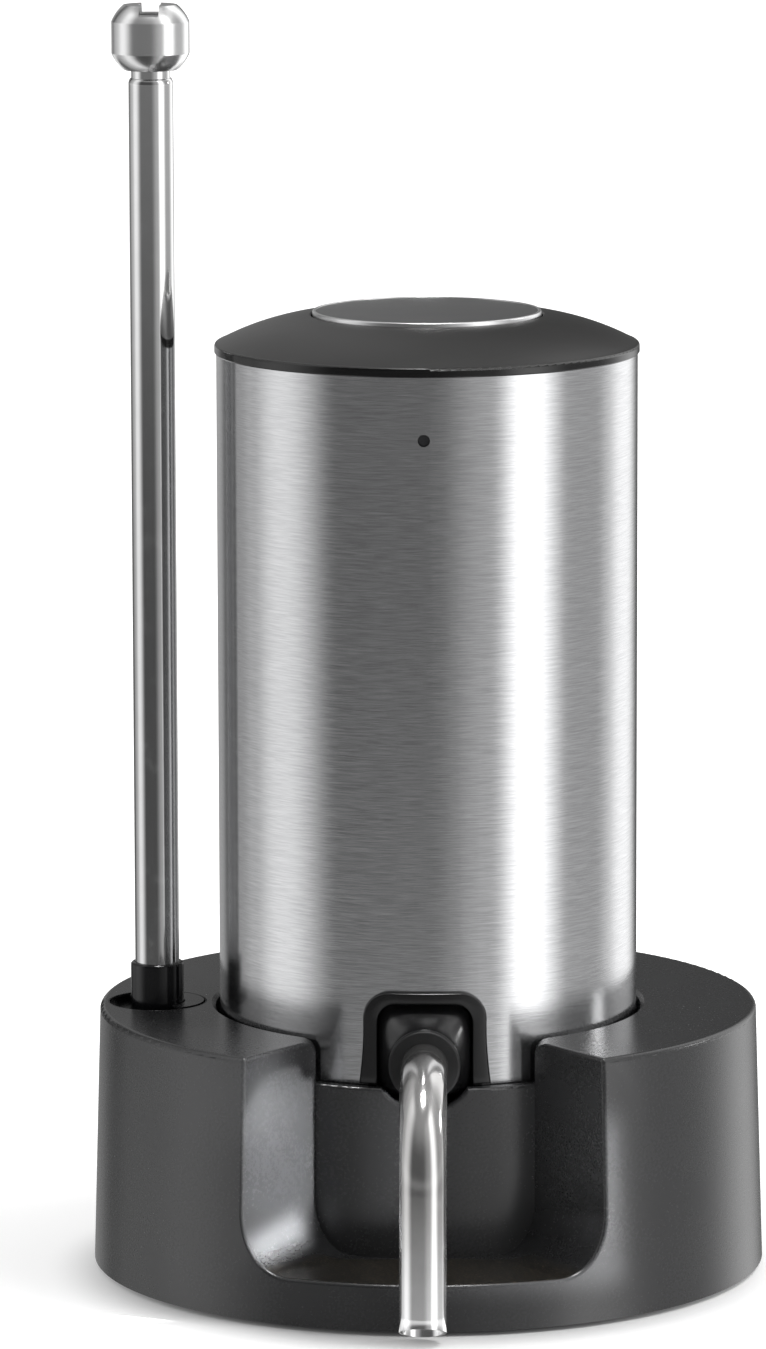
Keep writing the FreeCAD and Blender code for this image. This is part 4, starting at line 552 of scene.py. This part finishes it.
zinc = plated_steel("zinc_screws", (0.55, 0.55, 0.56), 0.35)
for node in ("base_cover_screws", "cap_screws", "bottom_cover_screws", "board_screws"):
    dress(node, zinc)
dress("button_spring", plated_steel("spring_wire", (0.6, 0.6, 0.61), 0.28, 0.15 * MM))
dress("charging_port", plated_steel("tinned_port", (0.68, 0.68, 0.7), 0.3))
dress("air_pump_motor", plated_steel("motor_can", (0.62, 0.62, 0.63), 0.32, 0.6 * MM))
dress("circuit_board", circuit_board("solder_mask"))
dress("status_led", clear_plastic("led_lens", (0.85, 0.85, 0.78), 0.4))
dress("led_light_pipe", clear_plastic("light_pipe", (0.02, 0.02, 0.022), 0.1))
dress("lithium_cell", silicone("cell_wrap", (0.03, 0.14, 0.32), 0.28, 0.02))
dress("motor_leads", silicone("red_lead", (0.42, 0.015, 0.015), 0.4))
dress("cell_leads", silicone("black_lead", (0.015, 0.015, 0.016), 0.4))
print("finishes:", len(bpy.data.materials))

# %% [markdown]
# ## Turned pieces
# Many parts here are round: the button, its rim, the sleeve, the seal. On a lathe they would be
# turned from one profile, and Spin does the same: it carries a wire round an axis. The wire's
# corners are bevelled first, so every rim gets a real radius that can catch the light. An edge that
# lies on the axis is left out of the wire, because it would sweep no face.

# %% Turning
AROUND = 128
ROUND_STEPS = 4
MERGE_DISTANCE = 0.0001 * MM
SHARP = math.radians(32)
CUT_EDGE = math.radians(40)
UP = Matrix()
FORWARD = Matrix.Rotation(math.pi / 2, 4, "X")


def turned(profile, centre=(0, 0, 0), axis=UP):
    """Spin a closed profile of (radius, height, rounding) in mm once round an axis."""
    shape = bmesh.new()
    corners = [shape.verts.new((r * MM, 0, z * MM)) for r, z, rounding in profile]
    for pair in zip(corners, corners[1:] + corners[:1]):
        if pair[0].co.x + pair[1].co.x > 0:
            shape.edges.new(pair)
    for corner, (r, z, rounding) in zip(corners, profile):
        if rounding:
            bmesh.ops.bevel(shape, geom=[corner], offset=rounding * MM, segments=ROUND_STEPS,
                            profile=0.5, affect="VERTICES", material=-1)
    bmesh.ops.spin(shape, geom=shape.verts[:] + shape.edges[:], cent=(0, 0, 0), axis=(0, 0, 1),
                   angle=math.tau, steps=AROUND, use_merge=True)
    bmesh.ops.remove_doubles(shape, verts=shape.verts[:], dist=MERGE_DISTANCE)
    place = Matrix.Translation(Vector(centre) * MM) @ axis
    bmesh.ops.transform(shape, matrix=place, verts=shape.verts[:])
    return shape


def add_to(shape, other):
    """Put a second loose shape into the same part."""
    mesh = bpy.data.meshes.new("passing")
    other.to_mesh(mesh)
    other.free()
    shape.from_mesh(mesh)
    bpy.data.meshes.remove(mesh)
    return shape


def hand_over(shape, name, node, body, finish):
    """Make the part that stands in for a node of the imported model."""
    bmesh.ops.recalc_face_normals(shape, faces=shape.faces[:])
    for face in shape.faces:
        face.smooth = True
    for edge in shape.edges:
        edge.smooth = edge.calc_face_angle(0) < SHARP
    mesh = bpy.data.meshes.new(name)
    shape.to_mesh(mesh)
    shape.free()
    piece = bpy.data.objects.new(name, mesh)
    bpy.context.scene.collection.objects.link(piece)
    mesh.materials.append(finish.material)
    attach(piece, body)
    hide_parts(node)
    print(name, len(mesh.polygons), "faces", [round(d / MM, 2) for d in piece.dimensions], "mm")


# %% [markdown]
# ## The button
# The button is a shallow disc in a bright metal rim. Both are turned. The disc's face lies a
# little below the rim, and its stem underneath presses the switch.

# %% Button
BUTTON_TOP, BUTTON_FOOT, STEM_FOOT = 128.65, 126.75, 117.65
DISC_RADIUS, RIM_RADIUS, STEM_RADIUS = 14.75, 15.2, 3.0
DISC_TOP = BUTTON_TOP - 0.12
hand_over(
    turned([(0, STEM_FOOT, 0), (STEM_RADIUS, STEM_FOOT, 0.2), (STEM_RADIUS, BUTTON_FOOT, 0),
            (DISC_RADIUS, BUTTON_FOOT, 0), (DISC_RADIUS, DISC_TOP, 0.1), (0, DISC_TOP, 0)]),
    "button_face", "button_disc", "button",
    moulded_plastic("button_plastic", (0.085, 0.085, 0.086), 0.36, 0.2 * MM, 0.003 * MM))
hand_over(
    turned([(DISC_RADIUS, BUTTON_FOOT, 0), (RIM_RADIUS, BUTTON_FOOT, 0),
            (RIM_RADIUS, BUTTON_TOP, 0.22), (DISC_RADIUS, BUTTON_TOP, 0.08)]),
    "button_rim", "button_rim_ring", "button",
    polished_steel("bright_rim_metal", 0.72, 0.28, (6, 6, 1)))

# %% [markdown]
# ## The sleeve and its socket
# The silicone sleeve on the suction tube is turned too. It stands in a turned well in the stand's
# top. The raised insert in that well sits off centre and is cut away at the front left, so a
# crescent stays open there and closes to a thin seam at the right. All of the well below the
# stand's top is painted near black as shade, which darkens the crescent. The insert is a ring
# between two circles that aren't concentric: they are bridged, the ring is pulled down to get its
# depth, and a plane cuts off the open side.

# %% Sleeve and socket
TUBE_AT = (-36.4, -0.7, 0)
STAND_TOP = 35.2
SLEEVE_RADIUS, SLEEVE_BORE, SLEEVE_HOLE = 3.55, 2.975, 2.1
SLEEVE_TOP, SLEEVE_COLLAR, WELL_FLOOR = 40.65, 16, 10
hand_over(
    turned([(SLEEVE_HOLE, WELL_FLOOR, 0), (SLEEVE_RADIUS, WELL_FLOOR, 0.3),
            (SLEEVE_RADIUS, SLEEVE_TOP, 0.35), (SLEEVE_BORE, SLEEVE_TOP, 0.08),
            (SLEEVE_BORE, SLEEVE_COLLAR, 0), (SLEEVE_HOLE, SLEEVE_COLLAR, 0)], TUBE_AT),
    "tube_boot", "tube_sleeve", "suction_tube",
    silicone("glossy_black_silicone", (0.006, 0.006, 0.007), 0.16, 0.004))
INSERT_RADIUS, INSERT_DEPTH, INSERT_SHIFT = 5.6, 1.15, -0.85
OPEN_SIDE, OPEN_FROM = Vector((-0.75, -0.66, 0)), 0.4
SOCKET_BORE = 3.72
# depths below the stand's top where the painted shade in the crescent is full and where it starts
FULL_SHADE_DEPTH, SHADE_START_DEPTH = 0.35, 0.15


def off_centre_insert():
    """The raised ring around the sleeve, thick at the right and cut away at the front left."""
    shape = bmesh.new()
    for radius, shift in ((INSERT_RADIUS, INSERT_SHIFT * OPEN_SIDE), (SOCKET_BORE, Vector())):
        at = (Vector(TUBE_AT) + shift + Vector((0, 0, STAND_TOP))) * MM
        bmesh.ops.create_circle(shape, segments=AROUND, radius=radius * MM,
                                matrix=Matrix.Translation(at))
    flat = bmesh.ops.bridge_loops(shape, edges=shape.edges[:])["faces"]
    depth = bmesh.ops.extrude_face_region(shape, geom=flat)["geom"]
    down = [part for part in depth if isinstance(part, bmesh.types.BMVert)]
    bmesh.ops.translate(shape, verts=down, vec=(0, 0, -INSERT_DEPTH * MM))
    cut = bmesh.ops.bisect_plane(
        shape, geom=shape.verts[:] + shape.edges[:] + shape.faces[:], plane_no=OPEN_SIDE,
        plane_co=(Vector(TUBE_AT) + OPEN_FROM * OPEN_SIDE) * MM, clear_outer=True)["geom_cut"]
    bmesh.ops.holes_fill(shape, edges=[e for e in cut if isinstance(e, bmesh.types.BMEdge)])
    return shape


def socket_finish():
    """The stand's charcoal on top, painted near black as shade down in the crescent."""
    finish = moulded_plastic("socket_plastic", STAND_TONE, 0.27, 0.35 * MM, 0.004 * MM)
    height = finish.split(finish.place())[2]
    # below the stand's top the colour is painted near black as shade
    top = finish.ramp(height, (STAND_TOP - FULL_SHADE_DEPTH) * MM, (STAND_TOP - SHADE_START_DEPTH) * MM)
    finish.set("Base Color", finish.between(top, (0.003, 0.003, 0.003), finish.colour))
    return finish


WELL_RADIUS, WELL_FOOT, WELL_LEDGE = 5.05, 8.7, 34.0
RECESS_RADIUS, RECESS_BORE, RECESS_FLOOR = 6.6, 6.5, STAND_TOP - INSERT_DEPTH + 0.02
hand_over(
    add_to(turned([(0, WELL_FOOT, 0), (WELL_RADIUS, WELL_FOOT, 0), (WELL_RADIUS, WELL_LEDGE, 0),
                   (RECESS_RADIUS, WELL_LEDGE, 0), (RECESS_RADIUS, STAND_TOP, 0.06),
                   (RECESS_BORE, STAND_TOP, 0), (RECESS_BORE, RECESS_FLOOR, 0),
                   (SOCKET_BORE, RECESS_FLOOR, 0), (SOCKET_BORE, WELL_FLOOR, 0),
                   (0, WELL_FLOOR, 0)], TUBE_AT),
           off_centre_insert()),
    "tube_well", "tube_socket", "stand", socket_finish())

# %% [markdown]
# ## The spout
# The spout is one steel tube, bent through a right angle and cut off at a slant that opens
# forward. A ring is pulled straight, carried round the bend with Spin and pulled straight again.
# A plane cuts the slant, Solidify gives the wall, and a tiny bevel breaks the cut edges.

# %% Spout
SPOUT_RADIUS, SPOUT_WALL = 3.08, 0.5
SPOUT_HEIGHT, SPOUT_START, BEND_START = 33.2, -24.6, -36.499
BEND_RADIUS, LEG_END = 13.0, -4.0
SPOUT_SIDES, BEND_STEPS, LEG_STEPS = 96, 48, 6
CUT_ROUNDING = 0.07
SHADE_AND_DULL_FROM, SHADE_AND_DULL_TO = 5, 19
OUTLET_AT, OUTLET_SLANT = Vector((0, -49.5, 1.65)), math.radians(22)


def pulled(shape, edges, move):
    """Pull a loop of edges straight by a distance in mm, and return the loop at its new end."""
    made = bmesh.ops.extrude_edge_only(shape, edges=edges)["geom"]
    bmesh.ops.translate(shape, vec=Vector(move) * MM,
                        verts=[part for part in made if isinstance(part, bmesh.types.BMVert)])
    return [part for part in made if isinstance(part, bmesh.types.BMEdge)]


def bent_spout():
    """The spout tube from its hidden inner end to the slanted outlet."""
    shape = bmesh.new()
    start = Matrix.Translation(Vector((0, SPOUT_START, SPOUT_HEIGHT)) * MM) @ FORWARD
    bmesh.ops.create_circle(shape, segments=SPOUT_SIDES, radius=SPOUT_RADIUS * MM, matrix=start)
    loop = pulled(shape, shape.edges[:], (0, BEND_START - SPOUT_START, 0))
    ends = list(dict.fromkeys(vert for edge in loop for vert in edge.verts))
    bend = bmesh.ops.spin(shape, geom=ends + loop, axis=(1, 0, 0), angle=math.pi / 2,
                          steps=BEND_STEPS,
                          cent=Vector((0, BEND_START, SPOUT_HEIGHT - BEND_RADIUS)) * MM)
    loop = [part for part in bend["geom_last"] if isinstance(part, bmesh.types.BMEdge)]
    leg = LEG_END - (SPOUT_HEIGHT - BEND_RADIUS)
    for _ in range(LEG_STEPS):
        loop = pulled(shape, loop, (0, 0, leg / LEG_STEPS))
    slant = Vector((0, -math.sin(OUTLET_SLANT), -math.cos(OUTLET_SLANT)))
    bmesh.ops.bisect_plane(shape, geom=shape.verts[:] + shape.edges[:] + shape.faces[:],
                           plane_co=OUTLET_AT * MM, plane_no=slant, clear_outer=True)
    bmesh.ops.recalc_face_normals(shape, faces=shape.faces[:])
    bmesh.ops.solidify(shape, geom=shape.faces[:], thickness=SPOUT_WALL * MM)
    rims = [edge for edge in shape.edges if edge.calc_face_angle(0) > CUT_EDGE]
    bmesh.ops.bevel(shape, geom=rims, offset=CUT_ROUNDING * MM, segments=2, profile=0.5,
                    affect="EDGES", material=-1)
    return shape


def spout_finish():
    """Polished steel, a little duller and painted darker as shade from the leg up to the bend."""
    finish = polished_steel("polished_spout_steel", 0.8, 0.08, (6, 6, 6), depth=0.0008 * MM,
                            metallic=0.92)
    height = finish.split(finish.place())[2]
    bent = finish.ramp(height, SHADE_AND_DULL_FROM * MM, SHADE_AND_DULL_TO * MM)
    # the upper spout is painted darker as shade, and the added roughness makes it duller
    finish.set("Base Color", finish.between(bent * 0.6, finish.colour, (0.36, 0.35, 0.34)))
    finish.set("Roughness", finish.gloss + bent * 0.03)
    return finish


hand_over(bent_spout(), "polished_spout", "spout_tube", "spout", spout_finish())

# %% [markdown]
# ## The nose
# The spout comes out of a black nose that starts as a rounded square and narrows to a circle. Its
# mesh is first a plain open tube with many rings. Each ring is then pushed to its place between the
# two outlines, quickly at first and slower later, which gives the flare its hollow sides. The last
# two rings turn in at the front and run back through the bore.

# %% Nose
NOSE_HALF, NOSE_RADIUS, NOSE_BORE = 6.15, 4.7, 3.12
NOSE_BACK, NOSE_ROOT, NOSE_FRONT = 24.5, 26.9, 32.2
ROOT_HEIGHT = 34.2
SQUARENESS = 4.6
FLARE = 1.35
NOSE_RINGS = 24
NOSE_ROUNDING = 0.15
FLANGE_AT, FLANGE_SIZE, FLANGE_ROUNDING = (0, -23.8, 34.7), (16.3, 1.4, 13.4), 0.3
BARREL_BORE, BARREL_RADIUS, BARREL_BACK, BARREL_FRONT = 3.3, 4.7, 20.0, 23.2
SEAL_BORE, SEAL_NECK, SEAL_RADIUS = 3.085, 3.9, 4.7
SEAL_BACK, SEAL_FRONT = 29.2, 33.2


def squared_radius(angle, half):
    """How far a rounded square reaches in a direction."""
    reach = abs(math.cos(angle)) ** SQUARENESS + abs(math.sin(angle)) ** SQUARENESS
    return half / reach ** (1 / SQUARENESS)


def nose_point(angle, ring):
    """Where one point of the nose's ring of that number goes, in mm; ring 0 is the back."""
    share = min(max((ring - 1) / NOSE_RINGS, 0), 1)
    forward = NOSE_ROOT + (NOSE_FRONT - NOSE_ROOT) * share if ring else NOSE_BACK
    round_part = 1 - (1 - share) ** FLARE
    radius = squared_radius(angle, NOSE_HALF) * (1 - round_part) + NOSE_RADIUS * round_part
    height = ROOT_HEIGHT * (1 - round_part) + SPOUT_HEIGHT * round_part
    if ring > NOSE_RINGS + 1:
        radius, height = NOSE_BORE, SPOUT_HEIGHT
        forward = NOSE_FRONT if ring == NOSE_RINGS + 2 else NOSE_BACK
    return Vector((radius * math.cos(angle), -forward, radius * math.sin(angle) + height))


def flared_nose():
    """The nose, from its root behind the frame over its front and back through the bore."""
    shape = bmesh.new()
    bmesh.ops.create_circle(shape, segments=AROUND, radius=1 * MM, matrix=FORWARD)
    loop = shape.edges[:]
    for _ in range(NOSE_RINGS + 3):
        loop = pulled(shape, loop, (0, -1, 0))
    for vert in shape.verts:
        angle = math.atan2(vert.co.z, vert.co.x)
        vert.co = nose_point(angle, round(-vert.co.y / MM)) * MM
    back = [edge for edge in shape.edges if len(edge.link_faces) == 1]
    bmesh.ops.bridge_loops(shape, edges=back)
    front = [edge for edge in shape.edges if edge.calc_face_angle(0) > CUT_EDGE
             and all(vert.co.y < -NOSE_FRONT * MM + MERGE_DISTANCE for vert in edge.verts)]
    bmesh.ops.bevel(shape, geom=front, offset=NOSE_ROUNDING * MM, segments=3, profile=0.5,
                    affect="EDGES", material=-1)
    return shape


def nose_flange():
    """The plate behind the shell that keeps the nose from being pulled out, and its barrel."""
    shape = bmesh.new()
    plate = Matrix.LocRotScale(Vector(FLANGE_AT) * MM, None, Vector(FLANGE_SIZE) * MM)
    bmesh.ops.create_cube(shape, size=1, matrix=plate)
    bmesh.ops.bevel(shape, geom=shape.edges[:], offset=FLANGE_ROUNDING * MM, segments=2,
                    profile=0.5, affect="EDGES", material=-1)
    barrel = turned([(BARREL_BORE, BARREL_BACK, 0.2), (BARREL_RADIUS, BARREL_BACK, 0.2),
                     (BARREL_RADIUS, BARREL_FRONT, 0), (BARREL_BORE, BARREL_FRONT, 0)],
                    (0, 0, SPOUT_HEIGHT), FORWARD)
    return add_to(shape, barrel)


hand_over(
    add_to(flared_nose(), nose_flange()), "spout_nose", "spout_housing", "dispenser",
    moulded_plastic("nose_plastic", (0.007, 0.007, 0.0074), 0.25, 0.6 * MM, 0.001 * MM, shine=0.8))
hand_over(
    turned([(SEAL_BORE, SEAL_BACK, 0), (SEAL_NECK, SEAL_BACK, 0.1), (SEAL_NECK, NOSE_FRONT, 0),
            (SEAL_RADIUS, NOSE_FRONT, 0), (SEAL_RADIUS, SEAL_FRONT, 0.35),
            (SEAL_BORE, SEAL_FRONT, 0)], (0, 0, SPOUT_HEIGHT), FORWARD),
    "spout_seal", "spout_seal_ring", "dispenser",
    silicone("seal_silicone", (0.011, 0.011, 0.0115), 0.5, 0.004))

# %% [markdown]
# ## The frame around the nose
# A black arch frames the nose. Its front follows the round shell, its edges are rounded and its
# feet spread a little. It starts as a flat wire arch with bevelled corners. A second, smaller arch
# is bridged to it, the flat band is cut into short lengths, and every point is then laid on the
# cylinder of the shell.

# %% Frame
# each arch: half its width, the height of its top, the radius of its corners
FRAME_OUTER, LIP_OUTER, OPENING = (8.1, 42.0, 3.4), (7.45, 41.35, 2.75), (6.25, 40.5, 2.5)
FRAME_FOOT, FRAME_FRONT, FRAME_BACK = 29.75, 28.9, 28.02
LIP_FOOT, LIP_FRONT, LIP_BACK = 27.6, 28.1, 26.6
SPREAD, SPREAD_FROM, SPREAD_CURVE = 0.55, 36.5, 1.6
LONG_EDGE, LONG_CUTS, CORNER_STEPS = 3, 7, 14
FRAME_ROUNDING, FRAME_RIM = 0.22, math.radians(57)


def arch_wire(shape, half, top, corner, foot):
    """A wire that runs up, over two rounded corners and down again."""
    points = [shape.verts.new(Vector((x, 0, z)) * MM)
              for x, z in ((-half, foot), (-half, top), (half, top), (half, foot))]
    for pair in zip(points, points[1:]):
        shape.edges.new(pair)
    for point in points[1:3]:
        bmesh.ops.bevel(shape, geom=[point], offset=corner * MM, segments=CORNER_STEPS,
                        profile=0.5, affect="VERTICES", material=-1)


def arch_band(outer, inner, foot, front, back, spread=0.0):
    """A bent band between two arches, from one radius of the shell's axis to another."""
    shape = bmesh.new()
    arch_wire(shape, *outer, foot)
    arch_wire(shape, *inner, foot)
    bmesh.ops.bridge_loops(shape, edges=shape.edges[:])
    long = [edge for edge in shape.edges if edge.calc_length() > LONG_EDGE * MM]
    bmesh.ops.subdivide_edges(shape, edges=long, cuts=LONG_CUTS, use_grid_fill=True)
    flat = shape.faces[:]
    depth = bmesh.ops.extrude_face_region(shape, geom=flat)["geom"]
    behind = {part for part in depth if isinstance(part, bmesh.types.BMVert)}
    for vert in shape.verts:
        radius = back if vert in behind else front
        rise = max(0.0, (SPREAD_FROM - vert.co.z / MM) / (SPREAD_FROM - foot))
        outside = abs(vert.co.x / MM) > (outer[0] + inner[0]) / 2
        if outside:
            vert.co.x += math.copysign(spread * rise ** SPREAD_CURVE, vert.co.x) * MM
        vert.co.y = -math.sqrt((radius * MM) ** 2 - vert.co.x ** 2)
    bmesh.ops.recalc_face_normals(shape, faces=shape.faces[:])
    rims = [edge for edge in shape.edges if edge.calc_face_angle(0) > FRAME_RIM
            and not any(vert in behind for vert in edge.verts)]
    bmesh.ops.bevel(shape, geom=rims, offset=FRAME_ROUNDING * MM, segments=3, profile=0.5,
                    affect="EDGES", material=-1)
    return shape


frame_band = arch_band(FRAME_OUTER, OPENING, FRAME_FOOT, FRAME_FRONT, FRAME_BACK, SPREAD)
frame_lip = arch_band(LIP_OUTER, OPENING, LIP_FOOT, LIP_FRONT, LIP_BACK)
hand_over(
    add_to(frame_band, frame_lip), "spout_arch", "spout_frame", "dispenser",
    moulded_plastic("spout_frame_plastic", (0.006, 0.006, 0.0064), 0.24, 0.3 * MM, 0.001 * MM))
